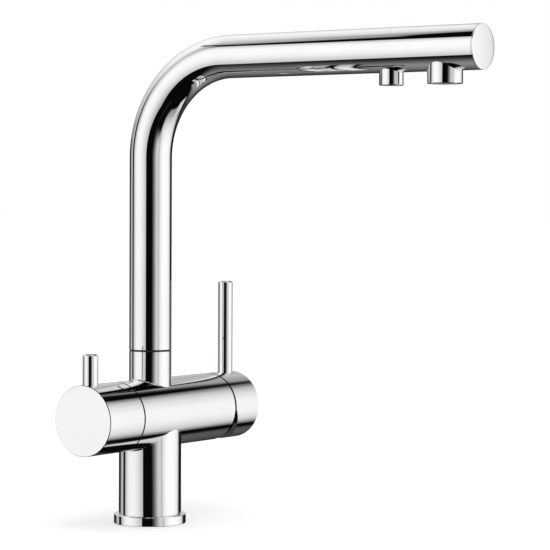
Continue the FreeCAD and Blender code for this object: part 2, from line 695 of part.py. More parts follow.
def drill_waterways(body):
    """Drillings that join sockets, valves and the riser."""
    hot = "barrel_height - port_drop"
    cold = "barrel_height + port_rise"
    drilled(
        body, "hot_upright", "waterway_radius", "hose_socket_top", hot + " + waterway_radius",
        "Z", ("hose_circle_radius", "0", "0"),
    )
    drilled(
        body, "hot_level", "waterway_radius", "hose_circle_radius", "mixer_chamber_floor",
        "X", ("0", "0", hot),
    )
    drilled(
        body, "cold_upright", "waterway_radius", "hose_socket_top", cold,
        "Z", ("hose_back", "hose_side", "0"),
    )
    drilled(
        body, "cold_level", "centre_way_radius", "hose_back", "mixer_chamber_floor",
        "X", ("0", "hose_side", cold),
    )
    drilled(
        body, "mixed_level", "centre_way_radius", "mixed_way_place", "mixer_chamber_floor",
        "X", ("0", "-hose_side", cold),
    )
    drilled(
        body, "mixed_upright", "centre_way_radius", cold, "socket_floor",
        "Z", ("mixed_way_place", "-hose_side", "0"),
    )
    drilled(
        body, "filtered_upright", "waterway_radius", "hose_socket_top", "barrel_height + side_way_radius",
        "Z", ("hose_back", "-hose_side", "0"),
    )
    drilled(
        body, "filtered_level", "side_way_radius", "-valve_chamber_floor", "hose_back",
        "X", ("0", "-side_way_place", "barrel_height"),
    )
    drilled(
        body, "seat_level", "centre_way_radius", "-valve_chamber_floor", "0",
        "X", ("0", "0", "barrel_height"),
    )
    drilled(body, "seat_upright", "centre_way_radius", "barrel_height", "spigot_bore_floor")


# ------------------------------------------------------------ base and swivel


def make_base_ring():
    """Turned ring between column and deck with a groove for its gasket."""
    body = new_body("base_ring")
    turned(body, "ring", [
        ("spigot_radius + seat_gap", "0"),
        ("gasket_inner_radius", "0"),
        ("gasket_inner_radius", "gasket_depth"),
        ("gasket_outer_radius", "gasket_depth"),
        ("gasket_outer_radius", "0"),
        ("base_ring_diameter / 2 - edge_bevel", "0"),
        ("base_ring_diameter / 2", "edge_bevel"),
        ("base_ring_diameter / 2", "base_ring_height - edge_bevel"),
        ("base_ring_diameter / 2 - edge_bevel", "base_ring_height"),
        ("spigot_radius + seat_gap", "base_ring_height"),
    ])


def make_base_gasket():
    """Flat rubber ring under the base ring, flush with the deck face."""
    body = new_body("base_gasket")
    turned(body, "gasket", [
        ("gasket_inner_radius + seat_gap", "0"),
        ("gasket_outer_radius - seat_gap", "0"),
        ("gasket_outer_radius - seat_gap", "gasket_depth - seat_gap"),
        ("gasket_inner_radius + seat_gap", "gasket_depth - seat_gap"),
    ])


def make_swivel_washer():
    """Plastic bearing washer, seen as the thin dark seam of the riser."""
    body = new_body("swivel_washer", z="neck_top")
    turned(body, "washer", [
        ("socket_radius + edge_bevel", "0"),
        ("riser_radius - edge_bevel", "0"),
        ("riser_radius - edge_bevel", "washer_thickness"),
        ("socket_radius + edge_bevel", "washer_thickness"),
    ])


def make_swivel_fitting():
    """Brass foot of the spout that turns in the neck."""
    body = new_body("swivel_fitting")
    turned(body, "fitting", [
        ("fitting_bore_radius", "fitting_foot"),
        ("fitting_radius - edge_bevel", "fitting_foot"),
        ("fitting_radius", "fitting_foot + edge_bevel"),
        ("fitting_radius", "tube_bottom"),
        ("tube_bore_radius - seat_gap", "tube_bottom"),
        ("tube_bore_radius - seat_gap", "fitting_top"),
        ("fitting_bore_radius", "fitting_top"),
    ])
    for seal in ("lower", "upper"):
        cut_seal_groove(body, seal)
    cut_stop_groove(body)


def cut_seal_groove(body, seal):
    """Seal groove round the foot of the swivel fitting."""
    middle = f"{seal}_seal_height"
    floor = "fitting_radius - swivel_groove_depth"
    half = "swivel_groove_width / 2"
    turned_away(body, f"{seal}_seal_groove", [
        (floor, f"{middle} - {half}"),
        ("fitting_radius + slip_fit", f"{middle} - {half}"),
        ("fitting_radius + slip_fit", f"{middle} + {half}"),
        (floor, f"{middle} + {half}"),
    ])


def cut_stop_groove(body):
    """Part groove at the rear in which the nose of the stop screw runs."""
    floor = "fitting_radius - stop_groove_depth"
    half = "stop_groove_width / 2"
    groove = turned_away(body, "stop_groove", [
        (floor, f"stop_height - {half}"),
        ("fitting_radius + slip_fit", f"stop_height - {half}"),
        ("fitting_radius + slip_fit", f"stop_height + {half}"),
        (floor, f"stop_height + {half}"),
    ], "Z_REAR")
    groove.Midplane = True
    bind(groove, "Angle", "2 * (swivel_side + stop_spare_angle)")


def make_swivel_seals():
    """Two rings that seal the turning foot of the spout."""
    floor = "(fitting_radius - swivel_groove_depth)"
    mean = f"({floor} + socket_radius) / 2"
    section = f"(socket_radius - {floor}) / 2 - seal_gap"
    for seal in ("lower", "upper"):
        turned_seal(f"swivel_seal_{seal}", mean, section, "Z", ("0", "0", f"{seal}_seal_height"))


def make_swivel_stop_screw():
    """Set screw at the rear of the neck that limits the swivel."""
    body = new_body("swivel_stop_screw", y="socket_radius", z="stop_height")
    turned(body, "screw", [
        ("0", "-stop_nose_length"),
        ("stop_nose_radius", "-stop_nose_length"),
        ("stop_nose_radius", "seat_gap"),
        ("grub_radius - thread_depth - seat_gap", "seat_gap"),
        ("grub_radius - thread_depth - seat_gap", "riser_radius - socket_radius - edge_bevel"),
        ("0", "riser_radius - socket_radius - edge_bevel"),
    ], "Y")
    cut_key_socket(body, "Y", "riser_radius - socket_radius - edge_bevel")


def cut_key_socket(body, along, face):
    """Round key socket in the outer face of a set screw."""
    inner = f"({face}) - key_depth"
    if along == "Z":
        inner = f"({face}) + key_depth"
    drilled(body, "key_socket", "key_radius", inner, face, along)


# ---------------------------------------------------------- filtered water way


def make_inner_spigot():
    """Brass spigot that carries filtered water up into the spout."""
    body = new_body("inner_spigot")
    top = "inner_spigot_shoulder + barb_length"
    turned(body, "spigot", [
        ("barb_bore_radius", "inner_spigot_foot"),
        ("inner_radius - edge_bevel", "inner_spigot_foot"),
        ("inner_radius", "inner_spigot_foot + edge_bevel"),
        ("inner_radius", "inner_spigot_shoulder"),
        ("barb_radius", "inner_spigot_shoulder"),
        ("barb_radius", top),
        ("barb_bore_radius", top),
    ])
    floor = "inner_radius - inner_groove_depth"
    half = "inner_groove_width / 2"
    turned_away(body, "inner_seal_groove", [
        (floor, f"inner_seal_height - {half}"),
        ("inner_radius + slip_fit", f"inner_seal_height - {half}"),
        ("inner_radius + slip_fit", f"inner_seal_height + {half}"),
        (floor, f"inner_seal_height + {half}"),
    ])


def make_inner_spigot_seal():
    """Small ring that keeps filtered and mixed water apart."""
    floor = "(inner_radius - inner_groove_depth)"
    bore = "(inner_radius + slip_fit)"
    turned_seal(
        "inner_spigot_seal", f"({floor} + {bore}) / 2", f"({bore} - {floor}) / 2 - seal_gap",
        "Z", ("0", "0", "inner_seal_height"),
    )


def make_tube_centraliser():
    """Star that holds the inner tube on the middle of the riser."""
    body = new_body("tube_centraliser", z="centraliser_foot")
    hub = "inner_radius + seat_gap"
    outside = "inner_radius + seat_gap + centraliser_hub_wall"
    turned(body, "hub", [
        (hub, "0"),
        (outside, "0"),
        (outside, "centraliser_height"),
        (hub, "centraliser_height"),
    ])
    arm = boxed(
        body, "Additive", "arm",
        ("inner_radius + centraliser_hub_wall / 2", "fitting_bore_radius - seat_gap"),
        ("-centraliser_arm_width / 2", "centraliser_arm_width / 2"),
        ("0", "centraliser_height"),
    )
    patterned(body, "arms", arm, "Z_Axis", "centraliser_arms")


def make_filter_tube():
    """Inner plastic tube that takes filtered water to its own outlet."""
    bent_tube(
        "filter_tube", "inner_radius", "inner_bore_radius",
        "inner_spigot_shoulder + seat_gap", "nozzle_place - elbow_hub_back",
    )


def make_filter_elbow():
    """Brass elbow at the end of the inner tube with its threaded stud."""
    body = new_body("filter_elbow", y="-nozzle_place", z="spout_height")
    end = "nozzle_pocket_depth - nozzle_drop + seat_gap"
    turned(body, "level_part", [
        ("0", "-elbow_hub_front"),
        ("elbow_hub_radius", "-elbow_hub_front"),
        ("elbow_hub_radius", "elbow_hub_back - seat_gap"),
        ("barb_radius", "elbow_hub_back - seat_gap"),
        ("barb_radius", "elbow_hub_back + barb_length"),
        ("0", "elbow_hub_back + barb_length"),
    ], "Y")
    turned(body, "stud", [
        ("0", end),
        ("elbow_stud_radius", end),
        ("elbow_stud_radius", "0"),
        ("0", "0"),
    ])
    drilled(body, "level_bore", "barb_bore_radius", "0", "elbow_hub_back + barb_length", "Y")
    drilled(body, "upright_bore", "barb_bore_radius", end, "0")


# ------------------------------------------------------- the spout and outlets


def make_spout_tube():
    """Bent outer tube with the two outlet holes cut in its lower wall."""
    body = bent_tube(
        "spout_tube", "riser_radius", "tube_bore_radius",
        "tube_bottom", "spout_reach - end_cap_thickness",
    )
    drilled(
        body, "mixed_outlet_hole", "outlet_hole_radius", "aerator_bottom", "spout_height",
        "Z", ("0", "-aerator_place", "0"),
    )
    drilled(
        body, "filtered_outlet_hole", "stud_hole_radius", "nozzle_bottom", "spout_height",
        "Z", ("0", "-nozzle_place", "0"),
    )


def make_spout_end_cap():
    """Plug with a face flush with the tube, closing the spout."""
    body = new_body("spout_end_cap", y="-spout_reach", z="spout_height")
    turned(body, "plug", [
        ("0", "0"),
        ("riser_radius - edge_bevel", "0"),
        ("riser_radius", "edge_bevel"),
        ("riser_radius", "end_cap_thickness - seat_gap"),
        ("tube_bore_radius - seat_gap", "end_cap_thickness - seat_gap"),
        ("tube_bore_radius - seat_gap", "end_cap_thickness + end_plug_length"),
        ("0", "end_cap_thickness + end_plug_length"),
    ], "Y")


def saddle(body, height):
    """Cut the top of a collar to sit on the round tube."""
    drilled(
        body, "saddle", "riser_radius + seat_gap", "-aerator_radius - collar_wall",
        "aerator_radius + collar_wall", "Y", ("0", "0", height),
    )


def make_aerator_collar():
    """Collar below the spout that holds the aerator for mixed water."""
    body = new_body("aerator_collar", y="-aerator_place", z="aerator_bottom")
    turned(body, "collar", [
        ("aerator_bore_radius", "0"),
        ("aerator_radius - edge_bevel", "0"),
        ("aerator_radius", "edge_bevel"),
        ("aerator_radius", "aerator_drop"),
        ("outlet_hole_radius", "aerator_drop"),
        ("outlet_hole_radius", "aerator_pocket_depth"),
        ("aerator_bore_radius", "aerator_pocket_depth"),
    ])
    saddle(body, "aerator_drop")


def make_aerator_grid():
    """Plastic aerator with two circles of holes round a middle one."""
    body = new_body("aerator_grid", y="-aerator_place", z="aerator_bottom")
    outside = "aerator_bore_radius - seat_gap"
    foot = "aerator_recess"
    top = "aerator_top"
    turned(body, "disc", [
        ("0", f"{foot} + edge_bevel"),
        (f"{outside} - aerator_rim_wall", f"{foot} + edge_bevel"),
        (f"{outside} - aerator_rim_wall", foot),
        (outside, foot),
        (outside, top),
        ("0", top),
    ])
    drilled(body, "middle_hole", "grid_hole_radius", foot, top)
    inner = drilled(body, "inner_hole", "grid_hole_radius", foot, top, "Z", ("grid_inner_circle", "0", "0"))
    patterned(body, "inner_holes", inner, "Z_Axis", "grid_inner_count")
    outer = drilled(body, "outer_hole", "grid_hole_radius", foot, top, "Z", ("grid_outer_circle", "0", "0"))
    patterned(body, "outer_holes", outer, "Z_Axis", "grid_outer_count")


def make_aerator_screen():
    """Thin steel screen above the aerator grid."""
    body = new_body("aerator_screen", y="-aerator_place", z="aerator_bottom")
    foot = "aerator_top + seat_gap"
    top = f"{foot} + screen_thickness"
    turned(body, "screen", [
        ("0", foot),
        ("aerator_bore_radius - seat_gap", foot),
        ("aerator_bore_radius - seat_gap", top),
        ("0", top),
    ])
    hole = drilled(body, "opening", "screen_hole_radius", foot, top, "Z", ("grid_outer_circle", "0", "0"))
    patterned(body, "openings", hole, "Z_Axis", "grid_inner_count")


def make_aerator_gasket():
    """Rubber ring between the screen and the collar shoulder."""
    body = new_body("aerator_gasket", y="-aerator_place", z="aerator_bottom")
    foot = "aerator_top + screen_thickness + 2 * seat_gap"
    turned(body, "gasket", [
        ("aerator_gasket_hole", foot),
        ("aerator_bore_radius - seat_gap", foot),
        ("aerator_bore_radius - seat_gap", "aerator_pocket_depth - seat_gap"),
        ("aerator_gasket_hole", "aerator_pocket_depth - seat_gap"),
    ])


def make_filter_nozzle():
    """Small outlet collar for filtered water."""
    body = new_body("filter_nozzle", y="-nozzle_place", z="nozzle_bottom")
    turned(body, "nozzle", [
        ("nozzle_pocket_radius", "0"),
        ("nozzle_radius - edge_bevel", "0"),
        ("nozzle_radius", "edge_bevel"),
        ("nozzle_radius", "nozzle_drop"),
        ("elbow_stud_radius + seat_gap", "nozzle_drop"),
        ("elbow_stud_radius + seat_gap", "nozzle_pocket_depth"),
        ("nozzle_pocket_radius", "nozzle_pocket_depth"),
    ])
    saddle(body, "nozzle_drop")


def make_nozzle_insert():
    """Stream insert of the filtered outlet."""
    body = new_body("nozzle_insert", y="-nozzle_place", z="nozzle_bottom")
    foot = "nozzle_insert_recess"
    top = "nozzle_insert_top"
    turned(body, "disc", [
        ("0", foot),
        ("nozzle_pocket_radius - seat_gap", foot),
        ("nozzle_pocket_radius - seat_gap", top),
        ("0", top),
    ])
    drilled(body, "middle_hole", "nozzle_hole_radius", foot, top)
    hole = drilled(body, "stream_hole", "nozzle_hole_radius", foot, top, "Z", ("nozzle_hole_circle", "0", "0"))
    patterned(body, "stream_holes", hole, "Z_Axis", "nozzle_hole_count")


def make_nozzle_gasket():
    """Rubber ring between the stream insert and the nozzle shoulder."""
    body = new_body("nozzle_gasket", y="-nozzle_place", z="nozzle_bottom")
    foot = "nozzle_insert_top + seat_gap"
    turned(body, "gasket", [
        ("gasket_hole_radius", foot),
        ("nozzle_pocket_radius - seat_gap", foot),
        ("nozzle_pocket_radius - seat_gap", "nozzle_pocket_depth - seat_gap"),
        ("gasket_hole_radius", "nozzle_pocket_depth - seat_gap"),
    ])


# ------------------------------------------------------- filtered water valve


def axis_body(name):
    """Start a sub-part measured along the barrel axis."""
    return new_body(name, z="barrel_height")


def make_valve_seat_seal():
    """Ring between the valve seat and the fixed disc."""
    body = axis_body("valve_seat_seal")
    start = "-valve_chamber_floor - seat_gap"
    end = "-valve_disc_start + seat_gap"
    turned(body, "seal", [
        (start, "valve_seal_hole"),
        (start, "valve_disc_radius"),
        (end, "valve_disc_radius"),
        (end, "valve_seal_hole"),
    ], "X")


def valve_disc(name, start, ports):
    """Ceramic valve disc with two ports, set at a turn given by place."""
    body = axis_body(name)
    end = f"{start} + valve_disc_thickness"
    turned(body, "disc", [
        (f"-({start})", "0"),
        (f"-({start})", "valve_disc_radius"),
        (f"-({end})", "valve_disc_radius"),
        (f"-({end})", "0"),
    ], "X")
    for number, (side, rise) in enumerate(ports, 1):
        drilled(body, f"port_{number}", "valve_port_radius", f"-({end})", f"-({start})", "X", ("0", side, rise))


def make_valve_discs():
    """Fixed and turning disc, ports crossed while the valve is shut."""
    valve_disc("valve_fixed_disc", "valve_disc_start", [
        ("0", "valve_port_place"),
        ("0", "-valve_port_place"),
    ])
    valve_disc("valve_turning_disc", "valve_disc_start + valve_disc_thickness + slip_fit", [
        ("valve_port_place", "0"),
        ("-valve_port_place", "0"),
    ])


def make_valve_body():
    """Brass headwork that screws into the end of the barrel."""
    body = axis_body("valve_body")
    thread = "valve_chamber_radius - seat_gap"
    turned(body, "headwork", [
        ("-valve_disc_start", "valve_bore_radius"),
        ("-valve_disc_start", "valve_nose_radius"),
        ("-valve_thread_start", "valve_nose_radius"),
        ("-valve_thread_start", thread),
        ("-filter_seam - seat_gap", thread),
        ("-filter_seam - seat_gap", "valve_neck_radius"),
        ("-valve_neck_end + edge_bevel", "valve_neck_radius"),
        ("-valve_neck_end", "valve_neck_radius - edge_bevel"),
        ("-valve_neck_end", "spindle_radius + slip_fit"),
        ("-valve_bore_end", "spindle_radius + slip_fit"),
        ("-valve_bore_end", "valve_bore_radius"),
    ], "X")
    hexagon(body, "Additive", "hexagon", "flange_width", "-flange_end", "-filter_seam - seat_gap")
    drilled(
        body, "spindle_bore", "spindle_radius + slip_fit", "-valve_neck_end", "-valve_bore_end", "X",
    )
    window = drilled(
        body, "window", "valve_window_radius", "0", "valve_nose_radius + slip_fit",
        "Z", ("-valve_window_place", "0", "0"),
    )
    patterned(body, "windows", window, "X_Axis", "valve_window_count")


def make_valve_spindle():
    """Spindle with a driving foot, seal and clip grooves and a square end."""
    body = axis_body("valve_spindle")
    floor = "spindle_radius - spindle_groove_depth"
    clip_floor = "spindle_radius - clip_groove_depth"
    half = "spindle_groove_width / 2"
    turned(body, "spindle", [
        ("-spindle_foot", "0"),
        ("-spindle_foot", "spindle_foot_radius"),
        ("-spindle_foot - spindle_foot_length", "spindle_foot_radius"),
        ("-spindle_foot - spindle_foot_length", "spindle_radius"),
        (f"-valve_seal_place + {half}", "spindle_radius"),
        (f"-valve_seal_place + {half}", floor),
        (f"-valve_seal_place - {half}", floor),
        (f"-valve_seal_place - {half}", "spindle_radius"),
        ("-clip_place + seat_gap", "spindle_radius"),
        ("-clip_place + seat_gap", clip_floor),
        ("-clip_place - clip_thickness - seat_gap", clip_floor),
        ("-clip_place - clip_thickness - seat_gap", "spindle_radius"),
        ("-square_start", "spindle_radius"),
        ("-square_start", "0"),
    ], "X")
    half_square = "square_width / 2"
    boxed(
        body, "Additive", "square_end", ("-square_end", "-square_start"),
        (f"-{half_square}", half_square), (f"-{half_square}", half_square),
    )


def make_valve_spindle_seal():
    """Ring that seals the spindle in the headwork."""
    floor = "(spindle_radius - spindle_groove_depth)"
    bore = "(spindle_radius + slip_fit)"
    turned_seal(
        "valve_spindle_seal", f"({floor} + {bore}) / 2", f"({bore} - {floor}) / 2 - seal_gap",
        "X", ("-valve_seal_place", "0", "barrel_height"),
    )


def make_valve_clip():
    """Open spring clip that holds the spindle in the headwork."""
    body = axis_body("valve_clip")
    inner = "-clip_place"
    outer = "-clip_place - clip_thickness"
    hole = "spindle_radius - clip_groove_depth + seat_gap"
    turned(body, "clip", [(inner, hole), (inner, "clip_radius"), (outer, "clip_radius"), (outer, hole)], "X")
    boxed(
        body, "Subtractive", "opening", (outer, inner),
        ("-clip_opening / 2", "clip_opening / 2"), ("-clip_radius", "0"),
    )


def pin_holes(body, place, stud_end):
    """Seat and tapped hole in a cap for its lever pin."""
    drilled(body, "pin_seat", "pin_radius + seat_gap", "pin_seat_height - seat_gap", "barrel_radius", "Z", place)
    drilled(body, "stud_hole", "pin_stud_radius + seat_gap", stud_end, "pin_seat_height", "Z", place)


def make_filter_cap():
    """Round end cap that turns the filtered water valve."""
    body = axis_body("filter_cap")
    turned(body, "cap", [
        ("-filter_rim", "filter_cavity_radius"),
        ("-filter_rim", "barrel_radius - edge_bevel"),
        ("-filter_rim - edge_bevel", "barrel_radius"),
        ("-filter_cap_end + edge_bevel", "barrel_radius"),
        ("-filter_cap_end", "barrel_radius - edge_bevel"),
        ("-filter_cap_end", "0"),
        ("-filter_cavity_end", "0"),
        ("-filter_cavity_end", "filter_cavity_radius"),
    ], "X")
    half = "(square_width / 2 + seat_gap)"
    boxed(
        body, "Subtractive", "square_socket", ("-square_end - seat_gap", "-filter_cavity_end"),
        (f"-{half}", half), (f"-{half}", half),
    )
    pin_holes(body, ("-filter_pin_place", "0", "0"), "pin_stud_end - edge_bevel")
    drilled(
        body, "grub_hole", "grub_radius + seat_gap", "-barrel_radius", "-square_width / 2",
        "Z", ("-filter_grub_place", "0", "0"),
    )


def lever_pin(name, place, height):
    """Round lever pin with a threaded stud below its seat."""
    body = new_body(name, place, "0", "barrel_height")
    turned(body, "pin", [
        ("0", "pin_stud_end"),
        ("pin_stud_radius", "pin_stud_end"),
        ("pin_stud_radius", "pin_seat_height"),
        ("pin_radius", "pin_seat_height"),
        ("pin_radius", f"{height} - pin_bevel"),
        ("pin_radius - pin_bevel", height),
        ("0", height),
    ])


def lever_grub_screw(name, place, face):
    """Set screw from below that locks a cap on its square."""
    body = new_body(name, place, "0", "barrel_height")
    inner = f"-({face}) - seat_gap"
    outer = f"-({face}) - seat_gap - grub_length"
    turned(body, "screw", [
        ("0", outer),
        ("grub_radius", outer),
        ("grub_radius", f"{inner} - edge_bevel"),
        ("grub_radius - edge_bevel", inner),
        ("0", inner),
    ])
    cut_key_socket(body, "Z", outer)


# ---------------------------------------------------------- mixing cartridge


def drill_ports(body, radius, start, end):
    """Three ports through a cartridge piece: hot, cold and mixed."""
    places = (("hot", "0", "-port_drop"), ("cold", "hose_side", "port_rise"), ("mixed", "-hose_side", "port_rise"))
    for name, side, rise in places:
        drilled(body, f"{name}_port", radius, start, end, "X", ("0", side, rise))


def ported_disc(name, radius, port, start, end):
    """Disc on the barrel axis with the three ports."""
    body = axis_body(name)
    turned(body, "disc", [(start, "0"), (start, radius), (end, radius), (end, "0")], "X")
    drill_ports(body, port, start, end)
    return body


def make_cartridge_seats():
    """Seal, base and fixed disc stacked on the floor of the chamber."""
    seal_end = "mixer_chamber_floor + port_seal_thickness"
    ported_disc(
        "cartridge_port_seal", "port_seal_radius", "port_radius",
        "mixer_chamber_floor + seat_gap", seal_end,
    )
    ported_disc(
        "cartridge_base", "housing_radius", "port_radius",
        f"{seal_end} + seat_gap", "cartridge_base_end",
    )
    ported_disc(
        "mixer_fixed_disc", "fixed_disc_radius", "port_radius",
        "cartridge_base_end + seat_gap", "fixed_disc_end",
    )


def make_moving_disc():
    """Ceramic disc that slides and turns over the three ports."""
    body = axis_body("mixer_moving_disc")
    start = "fixed_disc_end + slip_fit"
    lowered = ("0", "0", "-moving_disc_drop")
    turned(body, "disc", [
        (start, "0"),
        (start, "moving_disc_radius"),
        ("moving_disc_end", "moving_disc_radius"),
        ("moving_disc_end", "0"),
    ], "X", lowered)
    drilled(
        body, "mixing_hollow", "mixing_hollow_radius", start,
        f"{start} + mixing_hollow_depth", "X", lowered,
    )


def make_disc_carrier():
    """Plastic carrier with the socket that the stem ball works in."""
    body = axis_body("disc_carrier")
    turned(body, "plate", [
        ("moving_disc_end + seat_gap", "0"),
        ("moving_disc_end + seat_gap", "moving_disc_radius"),
        ("carrier_plate_end", "moving_disc_radius"),
        ("carrier_plate_end", "0"),
    ], "X", ("0", "0", "-moving_disc_drop"))
    turned(body, "tower", [
        ("moving_disc_end + seat_gap", "0"),
        ("moving_disc_end + seat_gap", "carrier_tower_radius"),
        ("carrier_tower_end", "carrier_tower_radius"),
        ("carrier_tower_end", "0"),
    ], "X")
    drilled(body, "ball_socket", "ball_socket_radius", "ball_socket_floor", "carrier_tower_end", "X")


def make_cartridge_housing():
    """Shell of the cartridge with a bore that carries the turret."""
    body = axis_body("cartridge_housing")
    bore = "turret_radius + slip_fit"
    turned(body, "shell", [
        ("cartridge_base_end + seat_gap", "housing_bore_radius"),
        ("cartridge_base_end + seat_gap", "housing_radius"),
        ("housing_end", "housing_radius"),
        ("housing_end", bore),
        ("housing_shoulder", bore),
        ("housing_shoulder", "housing_bore_radius"),
    ], "X")


def make_turret():
    """Turning carrier of the lever with a slot for the tilting stem."""
    body = axis_body("turret")
    turned(body, "turret_blank", [
        ("turret_flange_start", "0"),
        ("turret_flange_start", "turret_flange_radius"),
        ("housing_shoulder - slip_fit", "turret_flange_radius"),
        ("housing_shoulder - slip_fit", "turret_radius"),
        ("turret_end", "turret_radius"),
        ("turret_end", "0"),
    ], "X")
    cut_across(body, "stem_slot", [
        ("turret_flange_start", "-turret_slot_inner"),
        ("turret_flange_start", "turret_slot_swing"),
        ("pivot_place", "turret_slot_inner"),
        ("turret_end", "turret_slot_inner"),
        ("turret_end", "-turret_slot_outer"),
        ("pivot_place", "-turret_slot_inner"),
    ], "turret_slot_width")
    drilled(
        body, "pivot_hole", "pivot_pin_radius + slip_fit", "-turret_radius", "turret_radius",
        "Y", ("pivot_place", "0", "0"),
    )


def make_stem_pivot_pin():
    """Steel pin across the turret on which the lever tilts."""
    body = new_body("stem_pivot_pin", "pivot_place", "0", "barrel_height")
    turned(body, "pin", [
        ("0", "-pivot_pin_half"),
        ("pivot_pin_radius", "-pivot_pin_half"),
        ("pivot_pin_radius", "pivot_pin_half"),
        ("0", "pivot_pin_half"),
    ], "Y")


def make_mixer_stem():
    """Lever stem: ball end, neck, pivot part and square end."""
    body = axis_body("mixer_stem")
    half = "stem_square_width / 2"
    turned(body, "stem", [
        ("ball_place", "0"),
        ("ball_place", "stem_neck_radius"),
        ("stem_neck_end", "stem_neck_radius"),
        ("stem_neck_end", "stem_radius"),
        ("stem_square_start", "stem_radius"),
        ("stem_square_start", "0"),
    ], "X")
    ball = body.newObject("PartDesign::AdditiveSphere", "ball_end")
    bind(ball, "Radius", "ball_radius")
    bind(ball, "Placement.Base.x", "ball_place")
    boxed(
        body, "Additive", "square_end", ("stem_square_start", "stem_square_end"),
        (f"-{half}", half), (f"-{half}", half),
    )
    drilled(
        body, "pivot_hole", "pivot_pin_radius + slip_fit", "-stem_radius", "stem_radius",
        "Y", ("pivot_place", "0", "0"),
    )


def make_cartridge_nut():
    """Threaded ring that clamps the cartridge, with a key hexagon."""
    body = axis_body("cartridge_nut")
    outside = "mixer_mouth_radius - seat_gap"
    start = "mixer_mouth_floor + seat_gap"
    turned(body, "nut", [
        (start, "nut_bore_radius"),
        (start, outside),
        ("nut_end", outside),
        ("nut_end", "nut_bore_radius"),
    ], "X")
    hexagon(body, "Subtractive", "key_hexagon", "nut_key_radius", "nut_key_floor", "nut_end")


def make_dome_cover():
    """Part of a hollow ball about the lever pivot, covering the nut."""
    body = axis_body("dome_cover")
    outer = body.newObject("PartDesign::AdditiveSphere", "dome_outside")
    bind(outer, "Radius", "dome_radius")
    bind(outer, "Placement.Base.x", "pivot_place")
    inner = body.newObject("PartDesign::SubtractiveSphere", "dome_inside")
    bind(inner, "Radius", "dome_radius - dome_wall")
    bind(inner, "Placement.Base.x", "pivot_place")
    drilled(
        body, "dome_foot", "dome_radius + dome_wall", "pivot_place - dome_radius - dome_wall",
        "nut_end + seat_gap", "X",
    )
    drilled(
        body, "dome_mouth", "dome_radius + dome_wall", "dome_end",
        "pivot_place + dome_radius + dome_wall", "X",
    )


def make_mixer_cap():
    """Round end cap of the mixer with its lower rim cut to the tilt."""
    body = axis_body("mixer_cap")
    turned(body, "cap", [
        ("mixer_rim", "cap_cavity_radius"),
        ("mixer_rim", "barrel_radius - edge_bevel"),
        ("mixer_rim + edge_bevel", "barrel_radius"),
        ("mixer_cap_end - edge_bevel", "barrel_radius"),
        ("mixer_cap_end", "barrel_radius - edge_bevel"),
        ("mixer_cap_end", "0"),
        ("cap_cavity_end", "0"),
        ("cap_cavity_end", "cap_cavity_radius"),
    ], "X")
    cut_across(body, "tilt_bevel", [
        ("mixer_rim - mixer_seam_gap", "0"),
        ("mixer_rim", "0"),
        ("mixer_rim + (barrel_radius + mixer_seam_gap) * rim_slope", "-barrel_radius - mixer_seam_gap"),
        ("mixer_rim - mixer_seam_gap", "-barrel_radius - mixer_seam_gap"),
    ], "2 * barrel_diameter")
    half = "(stem_square_width / 2 + seat_gap)"
    boxed(
        body, "Subtractive", "square_socket", ("cap_cavity_end", "stem_square_end + seat_gap"),
        (f"-{half}", half), (f"-{half}", half),
    )
    pin_holes(body, ("mixer_pin_place", "0", "0"), "pin_stud_end - edge_bevel")
    drilled(
        body, "grub_hole", "grub_radius + seat_gap", "-barrel_radius", "-stem_square_width / 2",
        "Z", ("mixer_pin_place", "0", "0"),
    )


# ------------------------------------------------------------------ assembly


def write_sizes():
    """Write every size and rule in the sheet, each under its own name."""
    for group in SIZE_GROUPS:
        for name, value in group.items():
            NAMES.append(name)
            row = len(NAMES)
            SHEET.set(f"A{row}", name)
            SHEET.set(f"B{row}", str(value))
            SHEET.setAlias(f"B{row}", name)
    DOCUMENT.recompute()


def make_column_group():
    """Casting, base and swivel pieces."""
    make_body_casting()
    make_base_ring()
    make_base_gasket()
    make_swivel_washer()
    make_swivel_fitting()
    make_swivel_seals()
    make_swivel_stop_screw()


def make_spout_group():
    """Spout tube, inner tube and both outlets."""
    make_spout_tube()
    make_spout_end_cap()
    make_inner_spigot()
    make_inner_spigot_seal()
    make_tube_centraliser()
    make_filter_tube()
    make_filter_elbow()
    make_aerator_collar()
    make_aerator_grid()
    make_aerator_screen()
    make_aerator_gasket()
    make_filter_nozzle()
    make_nozzle_insert()
    make_nozzle_gasket()


def make_valve_group():
    """Filtered water valve, cap and pin."""
    make_valve_seat_seal()
    make_valve_discs()
    make_valve_body()
    make_valve_spindle()
    make_valve_spindle_seal()
    make_valve_clip()
    make_filter_cap()
    lever_pin("filter_lever_pin", "-filter_pin_place", "filter_pin_rise")
    lever_grub_screw("filter_grub_screw", "-filter_grub_place", "square_width / 2")


def make_mixer_group():
    """Mixing cartridge, cap and pin."""
    make_cartridge_seats()
    make_moving_disc()
    make_disc_carrier()
    make_cartridge_housing()
    make_turret()
    make_stem_pivot_pin()
    make_mixer_stem()
    make_cartridge_nut()
    make_dome_cover()
    make_mixer_cap()
    lever_pin("mixer_lever_pin", "mixer_pin_place", "mixer_pin_rise")
    lever_grub_screw("mixer_grub_screw", "mixer_pin_place", "stem_square_width / 2")


def check_and_write():
    """Stop on any broken feature or shape, then write every sub-part."""
    for thing in DOCUMENT.Objects:
        if "Invalid" in thing.State or "Error" in thing.State:
            raise RuntimeError("broken feature: " + thing.Label)
    os.makedirs("parts", exist_ok=True)
    for body in BODIES:
        if body.Shape.isNull() or not body.Shape.isValid():
            raise RuntimeError("broken shape: " + body.Label)
        if len(body.Shape.Solids) != 1:
            raise RuntimeError("not one solid: " + body.Label)
        body.Shape.exportStep(os.path.join("parts", body.Label + ".step"))


write_sizes()
make_column_group()
make_spout_group()
make_valve_group()
make_mixer_group()
DOCUMENT.recompute()
check_and_write()
